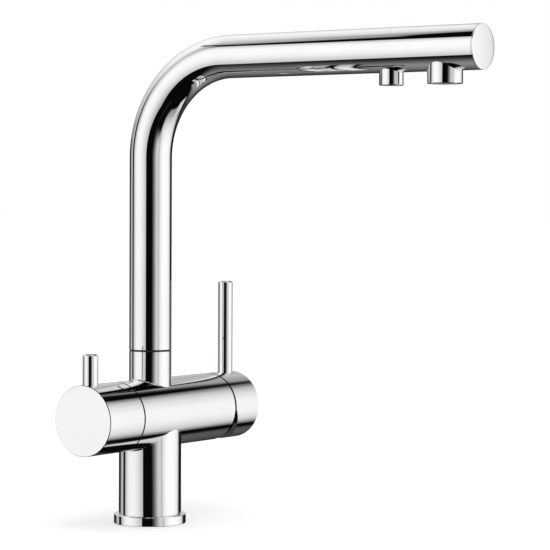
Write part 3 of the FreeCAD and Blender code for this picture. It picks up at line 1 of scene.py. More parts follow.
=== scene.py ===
"""Looks of the three way filtered water tap: finishes, fine pieces, studio and camera.

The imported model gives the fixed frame: metres, +Z up, spout towards -Y, the
mixer lever at +X and the filtered water lever at -X.
"""

import json
import logging
import math
from dataclasses import dataclass, field
from enum import Enum
from typing import Optional, Sequence, Union

import bpy
from mathutils import Matrix, Vector


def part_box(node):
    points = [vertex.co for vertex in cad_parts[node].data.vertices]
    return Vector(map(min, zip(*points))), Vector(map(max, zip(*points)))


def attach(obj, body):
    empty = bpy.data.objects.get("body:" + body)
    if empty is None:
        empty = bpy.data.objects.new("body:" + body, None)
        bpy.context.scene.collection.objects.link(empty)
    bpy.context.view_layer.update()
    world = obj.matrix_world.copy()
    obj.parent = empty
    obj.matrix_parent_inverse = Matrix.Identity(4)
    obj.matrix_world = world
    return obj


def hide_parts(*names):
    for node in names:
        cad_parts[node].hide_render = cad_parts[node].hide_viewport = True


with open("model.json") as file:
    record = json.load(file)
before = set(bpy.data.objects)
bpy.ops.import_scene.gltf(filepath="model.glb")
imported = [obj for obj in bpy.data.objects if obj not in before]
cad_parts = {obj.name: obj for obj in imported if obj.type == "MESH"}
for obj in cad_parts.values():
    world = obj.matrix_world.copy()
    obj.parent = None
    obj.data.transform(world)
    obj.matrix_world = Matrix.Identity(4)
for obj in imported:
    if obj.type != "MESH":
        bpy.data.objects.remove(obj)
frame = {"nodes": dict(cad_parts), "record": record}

Colour = tuple[float, float, float, float]
Place = tuple[float, float, float]
Cell = tuple[float, float, float, int]  # x, y, radius and number of sides of an opening
Pairs = Sequence[tuple[float, float]]
Value = Union[float, "Signal"]

LOG = logging.getLogger("water_tap")
MM = 0.001
DEGREE = math.pi / 180
WHITE: Colour = (1, 1, 1, 1)
SPOUT = "spout"  # moving group that carries all the new pieces


class Slot(Enum):
    """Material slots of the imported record."""

    CHROME = "polished_chrome"
    DARK_CHROME = "dark_chrome"
    BRASS = "bare_brass"
    STEEL = "steel"
    RUBBER = "black_rubber"
    CERAMIC = "white_ceramic"
    WHITE_PLASTIC = "white_plastic"
    GREY_PLASTIC = "grey_plastic"
    DARK_PLASTIC = "dark_plastic"


# --------------------------------------------------------------- shader aids


class Signal:
    """One output of a shader node, with arithmetic that adds Math nodes."""

    def __init__(self, graph: "Graph", socket: bpy.types.NodeSocket) -> None:
        """Wrap a socket.

        Args:
            graph: The graph that the socket belongs to.
            socket: The output socket.
        """
        self.graph = graph
        self.socket = socket

    def maths(self, operation: str, *others: Value) -> "Signal":
        """Combine this value with others through one Math node.

        Args:
            operation: The Math node's operation.
            others: The remaining operands.

        Returns:
            The result.
        """
        inputs = dict(enumerate((self, *others)))
        return self.graph.add("ShaderNodeMath", {"operation": operation}, inputs).out()

    def __add__(self, other: Value) -> "Signal":
        """Sum."""
        return self.maths("ADD", other)

    def __radd__(self, other: Value) -> "Signal":
        """Sum, reflected."""
        return self.maths("ADD", other)

    def __sub__(self, other: Value) -> "Signal":
        """Difference."""
        return self.maths("SUBTRACT", other)

    def __rsub__(self, other: float) -> "Signal":
        """Difference, reflected."""
        node = self.graph.add("ShaderNodeMath", {"operation": "SUBTRACT"}, {0: other, 1: self})
        return node.out()

    def __mul__(self, other: Value) -> "Signal":
        """Product."""
        return self.maths("MULTIPLY", other)

    def __rmul__(self, other: Value) -> "Signal":
        """Product, reflected."""
        return self.maths("MULTIPLY", other)

    def __truediv__(self, other: Value) -> "Signal":
        """Quotient."""
        return self.maths("DIVIDE", other)

    def step(self, low: float, high: float) -> "Signal":
        """Rise smoothly from 0 at low to 1 at high.

        Args:
            low: Where the rise starts.
            high: Where it ends.

        Returns:
            The eased value.
        """
        settings = {"interpolation_type": "SMOOTHSTEP"}
        inputs = {"Value": self, "From Min": low, "From Max": high}
        return self.graph.add("ShaderNodeMapRange", settings, inputs).out("Result")


class Added:
    """A node just added, with a short way to its outputs."""

    def __init__(self, graph: "Graph", node: bpy.types.Node) -> None:
        """Wrap a node.

        Args:
            graph: The graph that holds it.
            node: The node.
        """
        self.graph = graph
        self.node = node

    def out(self, name: Union[str, int] = 0) -> Signal:
        """Return one output, by name or number."""
        return Signal(self.graph, self.node.outputs[name])


class Graph:
    """The node tree of a material or of the world."""

    def __init__(self, tree: bpy.types.NodeTree) -> None:
        """Start with an empty tree."""
        self.tree = tree
        tree.nodes.clear()

    def add(
        self,
        kind: str,
        settings: Optional[dict] = None,
        inputs: Optional[dict] = None,
    ) -> Added:
        """Add any node: its settings first, then the values or links of its sockets.

        Args:
            kind: The node's type name.
            settings: Properties, and "stops" as (place, colour) pairs for a ramp.
            inputs: Socket name or number to a number, a colour or a signal.

        Returns:
            The node.
        """
        node = self.tree.nodes.new(kind)
        for name, value in (settings or {}).items():
            if name == "stops":
                self._set_stops(node.color_ramp, value)
            else:
                setattr(node, name, value)
        for name, value in (inputs or {}).items():
            socket = node.inputs[name]
            if isinstance(value, Signal):
                self.tree.links.new(value.socket, socket)
            else:
                socket.default_value = value
        return Added(self, node)

    @staticmethod
    def _set_stops(ramp: bpy.types.ColorRamp, stops: Sequence[tuple[float, Colour]]) -> None:
        """Write the stops of a ramp.

        Args:
            ramp: The ramp.
            stops: (place, colour) pairs in rising order.
        """
        while len(ramp.elements) > 1:
            ramp.elements.remove(ramp.elements[-1])
        ramp.elements[0].position, ramp.elements[0].color = stops[0]
        for place, colour in stops[1:]:
            ramp.elements.new(place).color = colour

    def mix(self, amount: Value, first: object, second: object) -> Signal:
        """Blend two colours.

        Args:
            amount: 0 for the first, 1 for the second.
            first: A colour or a signal.
            second: A colour or a signal.

        Returns:
            The blended colour.
        """
        settings = {"data_type": "RGBA", "clamp_factor": True}
        inputs = {"Factor": amount, 6: first, 7: second}
        return self.add("ShaderNodeMix", settings, inputs).out(2)

    def here(self, scale: Place = (1, 1, 1)) -> Signal:
        """Object coordinates, stretched by a scale."""
        place = self.add("ShaderNodeTexCoord").out("Object")
        return self.add("ShaderNodeMapping", {}, {"Vector": place, "Scale": scale}).out()

    def noise(self, scale: float, detail: float = 2.0, stretch: Place = (1, 1, 1)) -> Signal:
        """Noise value over the piece.

        Args:
            scale: Features per metre.
            detail: Octaves.
            stretch: Scale of each axis before the noise.

        Returns:
            The noise, 0 to 1.
        """
        inputs = {"Vector": self.here(stretch), "Scale": scale, "Detail": detail}
        return self.add("ShaderNodeTexNoise", {}, inputs).out("Fac")

    def bump(self, height: Value, strength: float, distance: float) -> Signal:
        """Normal tilted by a height."""
        inputs = {"Strength": strength, "Distance": distance, "Height": height}
        return self.add("ShaderNodeBump", {}, inputs).out()


# -------------------------------------------------------------------- finishes


@dataclass(frozen=True)
class Finish:
    """A surface finish that builds one material.

    Attributes:
        name: Name of the material.
        colour: Main colour.
        second: Colour it drifts towards.
        roughness: Middle roughness.
        drift: How far the roughness drifts either way.
    """

    name: str
    colour: Colour
    second: Colour
    roughness: float
    drift: float

    def build(self) -> bpy.types.Material:
        """Make the material.

        Returns:
            The finished material.
        """
        material = bpy.data.materials.new(self.name)
        material.use_nodes = True
        graph = Graph(material.node_tree)
        shader = graph.add("ShaderNodeBsdfPrincipled", {}, self.sockets(graph))
        graph.add("ShaderNodeOutputMaterial", {}, {"Surface": shader.out("BSDF")})
        return material

    def sockets(self, graph: Graph) -> dict:
        """Values and links of the shader's sockets."""
        raise NotImplementedError


@dataclass(frozen=True)
class Seam:
    """Band of painted shade, square to one axis of the tap: at a gap between two parts, and once along
    the filter cap's edge.

    Attributes:
        axis: Output of the Separate XYZ node that it is square to.
        low: Where it begins, in metres.
        high: Where it ends.
        reach: How far from the upright axis of the tap it goes.
        soft: Width over which its edges fade.
    """

    axis: str
    low: float
    high: float
    reach: float = 100.0 * MM
    soft: float = 0.04 * MM

    def inside(self, graph: Graph) -> Signal:
        """Mark where the seam's painted shade lies on a piece.

        Args:
            graph: The material's graph.

        Returns:
            1 within the band of painted shade, 0 outside it.
        """
        place = graph.add("ShaderNodeSeparateXYZ", {}, {"Vector": graph.here()})
        across, along = place.out("X"), place.out("Y")
        distance_squared = across * across + along * along
        near = 1.0 - distance_squared.step(self.reach**2, (self.reach + self.soft) ** 2)
        level = place.out(self.axis)
        begun = level.step(self.low - self.soft, self.low)
        ended = level.step(self.high, self.high + self.soft)
        return near * begun * (1.0 - ended)


@dataclass(frozen=True)
class PolishedChrome(Finish):
    """Mirror plating: clear reflections, faint buffing and wiping marks, painted shade at the seams.

    Attributes:
        wiping: Strength of the wiping marks.
        seams: Seams whose edges get painted shade, where the parts meet.
        seam_shade_colour: Near black colour of the painted shade within them.
        seam_roughness: Roughness added there.
        cloud_scale: Cloudy patches per metre.
        line_scale: Buffing lines per metre, across them.
        line_stretch: Scale of each axis, which draws the lines out along Z.
        wave_scale: Slow waves per metre that polishing leaves.
        wave_strength: Strength of those waves.
        wave_height: Their height.
    """

    wiping: float = 0.5
    seams: tuple[Seam, ...] = ()
    seam_shade_colour: Colour = (0.012, 0.012, 0.013, 1)
    seam_roughness: float = 0.4
    cloud_scale: float = 38.0
    line_scale: float = 900.0
    line_stretch: Place = (1.0, 1.0, 0.06)
    wave_scale: float = 22.0
    wave_strength: float = 0.012
    wave_height: float = 0.6 * MM

    def sockets(self, graph: Graph) -> dict:
        """Cloud and wipe the plating faintly, wave it a little and paint shade into its seams.

        Args:
            graph: The material's graph.

        Returns:
            Values and links of the shader's sockets.
        """
        cloud = graph.noise(self.cloud_scale, 3.0).step(0.35, 0.75)
        lines = graph.noise(self.line_scale, 2.0, self.line_stretch).step(0.55, 0.8)
        wiped = cloud * lines * self.wiping
        roughness = self.roughness + self.drift * cloud + self.drift * 2.0 * wiped
        colour = graph.mix(cloud, self.colour, self.second)
        # Painted shade: near black colour, and more roughness, in each seam band.
        for seam in self.seams:
            inside = seam.inside(graph)
            colour = graph.mix(inside, colour, self.seam_shade_colour)
            roughness = roughness + self.seam_roughness * inside
        waves = graph.noise(self.wave_scale, 1.0)
        return {
            "Base Color": colour,
            "Metallic": 1.0,
            "Roughness": roughness,
            "Normal": graph.bump(waves, self.wave_strength, self.wave_height),
        }


@dataclass(frozen=True)
class TurnedMetal(Finish):
    """Bare metal with the fine rings of a lathe tool.

    Attributes:
        ring_scale: Tool rings per metre along Z.
        ring_stretch: Scale of each axis, which draws the rings out across Z.
        ring_strength: Strength of the rings.
        ring_height: Their height.
        tarnish_scale: Patches of tarnish per metre.
        tarnish_roughness: Roughness that tarnish adds.
    """

    ring_scale: float = 2600.0
    ring_stretch: Place = (0.02, 0.02, 1.0)
    ring_strength: float = 0.25
    ring_height: float = 0.04 * MM
    tarnish_scale: float = 240.0
    tarnish_roughness: float = 0.08

    def sockets(self, graph: Graph) -> dict:
        """Lay rings along Z, with tarnish over them.

        Args:
            graph: The material's graph.

        Returns:
            Values and links of the shader's sockets.
        """
        rings = graph.noise(self.ring_scale, 2.0, self.ring_stretch)
        tarnish = graph.noise(self.tarnish_scale, 4.0).step(0.4, 0.7)
        roughness = self.roughness + self.drift * (rings - 0.5)
        return {
            "Base Color": graph.mix(tarnish, self.colour, self.second),
            "Metallic": 1.0,
            "Roughness": roughness + self.tarnish_roughness * tarnish,
            "Normal": graph.bump(rings, self.ring_strength, self.ring_height),
        }


@dataclass(frozen=True)
class Moulded(Finish):
    """Moulded plastic or rubber with a fine grain.

    Attributes:
        grain_scale: Grains per metre.
        grain_strength: Strength of the grain.
        grain_height: Its height.
        cloud_scale: Patches of the second colour per metre.
    """

    grain_scale: float = 3200.0
    grain_strength: float = 0.3
    grain_height: float = 0.05 * MM
    cloud_scale: float = 160.0

    def sockets(self, graph: Graph) -> dict:
        """Grain the surface finely and let its colour drift slowly.

        Args:
            graph: The material's graph.

        Returns:
            Values and links of the shader's sockets.
        """
        grain = graph.noise(self.grain_scale, 3.0)
        cloud = graph.noise(self.cloud_scale, 2.0).step(0.3, 0.7)
        return {
            "Base Color": graph.mix(cloud, self.colour, self.second),
            "Roughness": self.roughness + self.drift * (grain - 0.5),
            "Normal": graph.bump(grain, self.grain_strength, self.grain_height),
        }


@dataclass(frozen=True)
class Ceramic(Finish):
    """Dense white ceramic with sparse darker specks and a lapped sheen.

    Attributes:
        speck_scale: Specks per metre.
        cloud_scale: Cloudy patches per metre.
        sheen: Coat where the cloud is fullest.
        cloud_strength: Strength of the clouds in the surface.
        cloud_height: Their height.
    """

    speck_scale: float = 5200.0
    cloud_scale: float = 300.0
    sheen: float = 0.3
    cloud_strength: float = 0.05
    cloud_height: float = 0.05 * MM

    def sockets(self, graph: Graph) -> dict:
        """Speckle the colour and cloud the roughness.

        Args:
            graph: The material's graph.

        Returns:
            Values and links of the shader's sockets.
        """
        specks = graph.noise(self.speck_scale, 1.0).step(0.66, 0.74)
        cloud = graph.noise(self.cloud_scale, 3.0)
        return {
            "Base Color": graph.mix(specks, self.colour, self.second),
            "Roughness": self.roughness + self.drift * (cloud - 0.5),
            "Coat Weight": self.sheen * cloud,
            "Normal": graph.bump(cloud, self.cloud_strength, self.cloud_height),
        }


@dataclass
class FinishShelf:
    """Every finish of the tap, built once and handed out by slot.

    Attributes:
        cap_shade_line: Start and end of the painted shade line round the filter cap, from its outer
            face.
        shaded_lips: Bands of painted shade before and after a gap in the barrel.
        washer_shade_lip: Band of painted shade above and below the washer in the riser.
        riser_reach: How far from the upright axis the seam of the riser goes.
        made: The built materials.
    """

    cap_shade_line: tuple[float, float] = (0.08 * MM, 0.5 * MM)
    shaded_lips: tuple[float, float] = (0.5 * MM, 0.45 * MM)
    washer_shade_lip: float = 0.3 * MM
    riser_reach: float = 20.0 * MM
    made: dict[Slot, bpy.types.Material] = field(default_factory=dict)

    def seams(self) -> tuple[Seam, ...]:
        """Find the bands of painted shade at the seams between the plated parts and round the filter
        cap, from their places in the frame.

        Returns:
            The seams.
        """
        filter_cap, mixer_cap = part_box("filter_cap"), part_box("mixer_cap")
        casting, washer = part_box("body_casting"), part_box("swivel_washer")
        begin, end = self.cap_shade_line
        before, after = self.shaded_lips
        lip = self.washer_shade_lip
        return (
            Seam("X", filter_cap[0].x + begin, filter_cap[0].x + end),
            Seam("X", filter_cap[1].x - before, casting[0].x + after),
            Seam("X", casting[1].x - before, mixer_cap[0].x + after),
            Seam("Z", washer[0].z - lip, washer[1].z + lip, self.riser_reach),
        )

    def build(self) -> None:
        """Build all materials."""
        finishes = {
            Slot.CHROME: PolishedChrome(
                "polished_chrome_plate", (0.91, 0.915, 0.92, 1), (0.885, 0.892, 0.905, 1), 0.012, 0.01,
                # Painted shade in the seams of the plating.
                seams=self.seams(),
            ),
            Slot.DARK_CHROME: PolishedChrome(
                "dark_cover_plate", (0.11, 0.11, 0.115, 1), (0.08, 0.08, 0.085, 1), 0.16, 0.05,
                wiping=1.0,
            ),
            Slot.BRASS: TurnedMetal(
                "turned_brass", (0.72, 0.52, 0.22, 1), (0.50, 0.33, 0.13, 1), 0.26, 0.18
            ),
            Slot.STEEL: TurnedMetal(
                "turned_steel", (0.56, 0.56, 0.55, 1), (0.42, 0.42, 0.42, 1), 0.28, 0.2
            ),
            Slot.RUBBER: Moulded(
                "black_seal_rubber", (0.018, 0.018, 0.019, 1), (0.035, 0.034, 0.034, 1), 0.62, 0.18
            ),
            Slot.CERAMIC: Ceramic(
                "lapped_ceramic", (0.86, 0.85, 0.81, 1), (0.55, 0.54, 0.5, 1), 0.22, 0.1
            ),
            Slot.WHITE_PLASTIC: Moulded(
                "natural_white_plastic", (0.78, 0.78, 0.75, 1), (0.71, 0.71, 0.67, 1), 0.42, 0.12
            ),
            Slot.GREY_PLASTIC: Moulded(
                "grey_insert_plastic", (0.36, 0.37, 0.39, 1), (0.29, 0.30, 0.32, 1), 0.38, 0.12
            ),
            Slot.DARK_PLASTIC: Moulded(
                "dark_bearing_plastic", (0.022, 0.022, 0.025, 1), (0.04, 0.04, 0.043, 1), 0.45, 0.15
            ),
        }
        for slot, finish in finishes.items():
            self.made[slot] = finish.build()
            LOG.info("finish %s", finish.name)

    def dress_frame(self) -> None:
        """Give every carried-over node the finish of its slot in the record."""
        for entry in frame["record"]["subparts"]:
            node = frame["nodes"][entry["node"]]
            material = self.made[Slot(entry["material_slot"])]
            for holder in node.material_slots:
                holder.material = material
            LOG.info("node %s gets %s", node.name, material.name)


# ----------------------------------------------------------- modelling by hand


class Bench:
    """The usual modelling moves on one object at a time."""

    SAME_WAY = 0.99  # least cosine between a face's normal and the way that it looks
    BEVEL_STEPS = 3
    SHARP_EDGE = 40 * DEGREE
    KEPT_EDGE = 35 * DEGREE

    @staticmethod
    def clear() -> None:
        """Deselect everything."""
        bpy.ops.object.select_all(action="DESELECT")

    @classmethod
    def only(cls, piece: bpy.types.Object) -> None:
        """Select one object and make it active.

        Args:
            piece: The object.
        """
        cls.clear()
        piece.select_set(True)
        bpy.context.view_layer.objects.active = piece

    @classmethod
    def cylinder(
        cls, name: str, radius: float, depth: float, place: Place, sides: int
    ) -> bpy.types.Object:
        """Add a closed cylinder along Z with its foot at a place.

        Args:
            name: Name of the new object.
            radius: Its radius.
            depth: Its height.
            place: Middle of its foot.
            sides: Number of sides.

        Returns:
            The new object.
        """
        cls.clear()
        middle = (place[0], place[1], place[2] + depth / 2)
        bpy.ops.mesh.primitive_cylinder_add(vertices=sides, radius=radius, depth=depth, location=middle)
        piece = bpy.context.active_object
        piece.name = name
        return piece

    @classmethod
    def face_towards(cls, piece: bpy.types.Object, way: Place) -> None:
        """Go into edit mode with only the largest face that looks one way selected.

        Args:
            piece: The object.
            way: The direction looked in.
        """
        cls.only(piece)
        bpy.ops.object.mode_set(mode="EDIT")
        bpy.ops.mesh.select_mode(type="FACE")
        bpy.ops.mesh.select_all(action="DESELECT")
        bpy.ops.object.mode_set(mode="OBJECT")
        faces = piece.data.polygons
        facing = [face for face in faces if face.normal.dot(Vector(way)) > cls.SAME_WAY]
        max(facing, key=lambda face: face.area).select = True
        bpy.ops.object.mode_set(mode="EDIT")

    @classmethod
    def crown(
        cls, piece: bpy.types.Object, way: Place, radius: float, rise: float, rings: int
    ) -> None:
        """Dome a flat round face with rings that step out along a shallow ball.

        Args:
            piece: The object.
            way: Direction that the face looks in.
            radius: Radius of the face.
            rise: Height of the middle over the rim.
            rings: Number of rings.
        """
        cls.face_towards(piece, way)
        width = radius / (rings + 1)
        for ring in range(rings):
            outer, inner = (1 - (radius - width * step) ** 2 / radius**2 for step in (ring, ring + 1))
            bpy.ops.mesh.inset(thickness=width, depth=rise * (inner - outer))
        bpy.ops.object.mode_set(mode="OBJECT")

    @classmethod
    def settle(cls, piece: bpy.types.Object) -> None:
        """Put the object at the origin with its place in its mesh."""
        cls.only(piece)
        bpy.ops.object.transform_apply(location=True, rotation=True, scale=True)

    @classmethod
    def use(cls, piece: bpy.types.Object, kind: str, **settings: object) -> None:
        """Add one modifier and apply it.

        Args:
            piece: The object.
            kind: The modifier's type.
            settings: Its properties.
        """
        cls.only(piece)
        modifier = piece.modifiers.new(kind.lower(), kind)
        for name, value in settings.items():
            setattr(modifier, name, value)
        bpy.ops.object.modifier_apply(modifier=modifier.name)

    @classmethod
    def cut(cls, piece: bpy.types.Object, tool: bpy.types.Object) -> None:
        """Take one object away from another and drop the tool."""
        cls.use(piece, "BOOLEAN", operation="DIFFERENCE", object=tool, solver="EXACT")
        bpy.data.objects.remove(tool)

    @classmethod
    def bevel(cls, piece: bpy.types.Object, width: float) -> None:
        """Round the sharp edges a little.

        Args:
            piece: The object.
            width: Width of the rounding.
        """
        cls.use(
            piece, "BEVEL", width=width, segments=cls.BEVEL_STEPS, limit_method="ANGLE",
            angle_limit=cls.SHARP_EDGE, harden_normals=False,
        )

    @classmethod
    def smooth(cls, piece: bpy.types.Object) -> None:
        """Shade smooth, with the sharper edges kept."""
        cls.only(piece)
        bpy.ops.object.shade_smooth_by_angle(angle=cls.KEPT_EDGE)

    @classmethod
    def join(cls, name: str, pieces: Sequence[bpy.types.Object]) -> bpy.types.Object:
        """Make several objects one.

        Args:
            name: Name of the joined object.
            pieces: The objects, the first of which stays.

        Returns:
            The joined object.
        """
        cls.clear()
        for piece in pieces:
            piece.select_set(True)
        bpy.context.view_layer.objects.active = pieces[0]
        bpy.ops.object.join()
        pieces[0].name = name
        return pieces[0]


@dataclass
class Assembly:
    """A sub-assembly of the spout that gets a new piece.

    Attributes:
        shelf: Where the finishes come from.
    """

    shelf: FinishShelf

    def finish_piece(self, piece: bpy.types.Object, slot: Slot, node: str) -> None:
        """Dress a piece, let it ride with the spout and report it.

        Args:
            piece: The new object.
            slot: Its finish.
            node: Node of the frame that it stands for.
        """
        Bench.settle(piece)
        piece.data.materials.clear()
        piece.data.materials.append(self.shelf.made[slot])
        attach(piece, SPOUT)
        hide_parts(node)
        LOG.info("piece %s stands for %s", piece.name, node)


# ----------------------------------------------------------------- fine pieces


@dataclass
class SpoutEnd(Assembly):
    """Plug in the end of the spout, its face slightly crowned by polishing.

    Attributes:
        node: Node that it stands for.
        name: Name of the piece.
        rise: How far the middle of the face stands over its rim.
        thickness: Flange between the face and the end of the tube.
        plug_radius: Radius of the part inside the tube.
        edge: Width of the rounded edge.
        trim: How far the flange stands back from the tube's outside.
        sides: Sides of the round flange.
        rings: Rings of the crowned face.
    """

    node: str = "spout_end_cap"
    name: str = "spout_end_plug"
    rise: float = 0.55 * MM
    thickness: float = 1.45 * MM
    plug_radius: float = 12.7 * MM
    edge: float = 0.22 * MM
    trim: float = 0.03 * MM
    sides: int = 128
    rings: int = 9

    def build(self) -> bpy.types.Object:
        """Model and dress the plug.

        Returns:
            The plug.
        """
        low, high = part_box(self.node)
        middle = (low + high) / 2
        radius = (high.x - low.x) / 2 - self.trim
        depth = self.thickness - self.rise
        Bench.clear()
        bpy.ops.mesh.primitive_cylinder_add(
            vertices=self.sides, radius=radius, depth=depth, rotation=(90 * DEGREE, 0, 0),
            location=(middle.x, low.y + self.rise + depth / 2, middle.z),
        )
        plug = bpy.context.active_object
        plug.name = self.name
        Bench.settle(plug)
        Bench.bevel(plug, self.edge)
        Bench.crown(plug, (0, -1, 0), radius - self.edge, self.rise, self.rings)
        Bench.face_towards(plug, (0, 1, 0))
        bpy.ops.mesh.inset(thickness=radius - self.edge - self.plug_radius, depth=0)
        back = high.y - low.y - self.thickness
        bpy.ops.mesh.extrude_region_move(TRANSFORM_OT_translate={"value": (0, back, 0)})
        bpy.ops.object.mode_set(mode="OBJECT")
        Bench.smooth(plug)
        self.finish_piece(plug, Slot.CHROME, self.node)
        return plug


@dataclass
class StreamInsert(Assembly):
    """Round moulded insert of an outlet, recessed on both sides and pierced right through.

    Attributes:
        node: Node that it stands for.
        name: Name of the piece.
        rim: Wall round the pierced field.
        recess: Depth of each recess.
        edge: Rounding of the rim.
        overcut: How far a cut starts outside the piece.
        sides: Sides of its outside.
        field_sides: Sides of its two recesses.
    """

    node: str
    name: str
    rim: float
    recess: float
    edge: float = 0.2 * MM
    overcut: float = 0.5 * MM
    sides: int = 96
    field_sides: int = 64

    def cells(self, middle: Vector, field_radius: float) -> list[Cell]:
        """Openings of the pierced field."""
        raise NotImplementedError

    def build(self) -> bpy.types.Object:
        """Model and dress the insert.

        Returns:
            The insert.
        """
        low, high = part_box(self.node)
        middle = (low + high) / 2
        radius, height = (high.x - low.x) / 2, high.z - low.z
        insert = Bench.cylinder(
            self.name, radius, height, (middle.x, middle.y, low.z), self.sides
        )
        Bench.settle(insert)
        Bench.bevel(insert, self.edge)
        field_radius, start = radius - self.rim, low.z - self.overcut
        for foot in (start, high.z - self.recess):
            place, depth = (middle.x, middle.y, foot), self.recess + self.overcut
            tool = Bench.cylinder("recess", field_radius, depth, place, self.field_sides)
            Bench.cut(insert, tool)
        depth = height + 2 * self.overcut
        tools = [
            Bench.cylinder("cell", size, depth, (x, y, start), sides)
            for x, y, size, sides in self.cells(middle, field_radius)
        ]
        Bench.cut(insert, Bench.join("cells", tools))
        Bench.smooth(insert)
        self.finish_piece(insert, Slot.GREY_PLASTIC, self.node)
        return insert


@dataclass
class AeratorInsert(StreamInsert):
    """Honeycomb insert of the mixed water outlet.

    Attributes:
        pitch: Distance from cell to cell.
        wall: Wall between the cells.
        cell_sides: Sides of a cell.
    """

    node: str = "aerator_grid"
    name: str = "aerator_honeycomb"
    rim: float = 1.2 * MM
    recess: float = 0.7 * MM
    pitch: float = 1.72 * MM
    wall: float = 0.34 * MM
    cell_sides: int = 6

    def cells(self, middle: Vector, field_radius: float) -> list[Cell]:
        """Set out cells in staggered rows that fit the round field.

        Args:
            middle: Middle of the insert.
            field_radius: Radius of the field.

        Returns:
            The cells.
        """
        row_step = self.pitch * math.sqrt(3) / 2
        radius = (self.pitch - self.wall) / math.sqrt(3)
        rows = int(field_radius / row_step)
        found = []
        for row in range(-rows, rows + 1):
            shift = self.pitch / 2 if row % 2 else 0.0
            for column in range(-rows - 1, rows + 2):
                x, y = column * self.pitch + shift, row * row_step
                if math.hypot(x, y) + radius < field_radius - self.wall:
                    found.append((middle.x + x, middle.y + y, radius, self.cell_sides))
        return found


@dataclass
class NozzleInsert(StreamInsert):
    """Shower-like insert of the filtered water outlet, with round stream holes.

    Attributes:
        hole: Radius of a hole.
        hole_sides: Sides of a hole.
        circles: (radius, number of holes) of each circle.
    """

    node: str = "nozzle_insert"
    name: str = "nozzle_stream_plate"
    rim: float = 1.5 * MM
    recess: float = 0.5 * MM
    hole: float = 0.42 * MM
    hole_sides: int = 20
    circles: tuple[tuple[float, int], ...] = ((0.0, 1), (1.55 * MM, 6), (3.1 * MM, 12))

    def cells(self, middle: Vector, field_radius: float) -> list[Cell]:
        """Set out round holes on circles about the middle.

        Args:
            middle: Middle of the insert.
            field_radius: Radius of the field, which the outer circle stays within.

        Returns:
            The holes.
        """
        found = []
        for circle, count in self.circles:
            for number in range(count):
                turn = math.tau * number / count
                x, y = circle * math.cos(turn), circle * math.sin(turn)
                if math.hypot(x, y) + self.hole < field_radius:
                    found.append((middle.x + x, middle.y + y, self.hole, self.hole_sides))
        return found


# ------------------------------------------------------------------ the studio


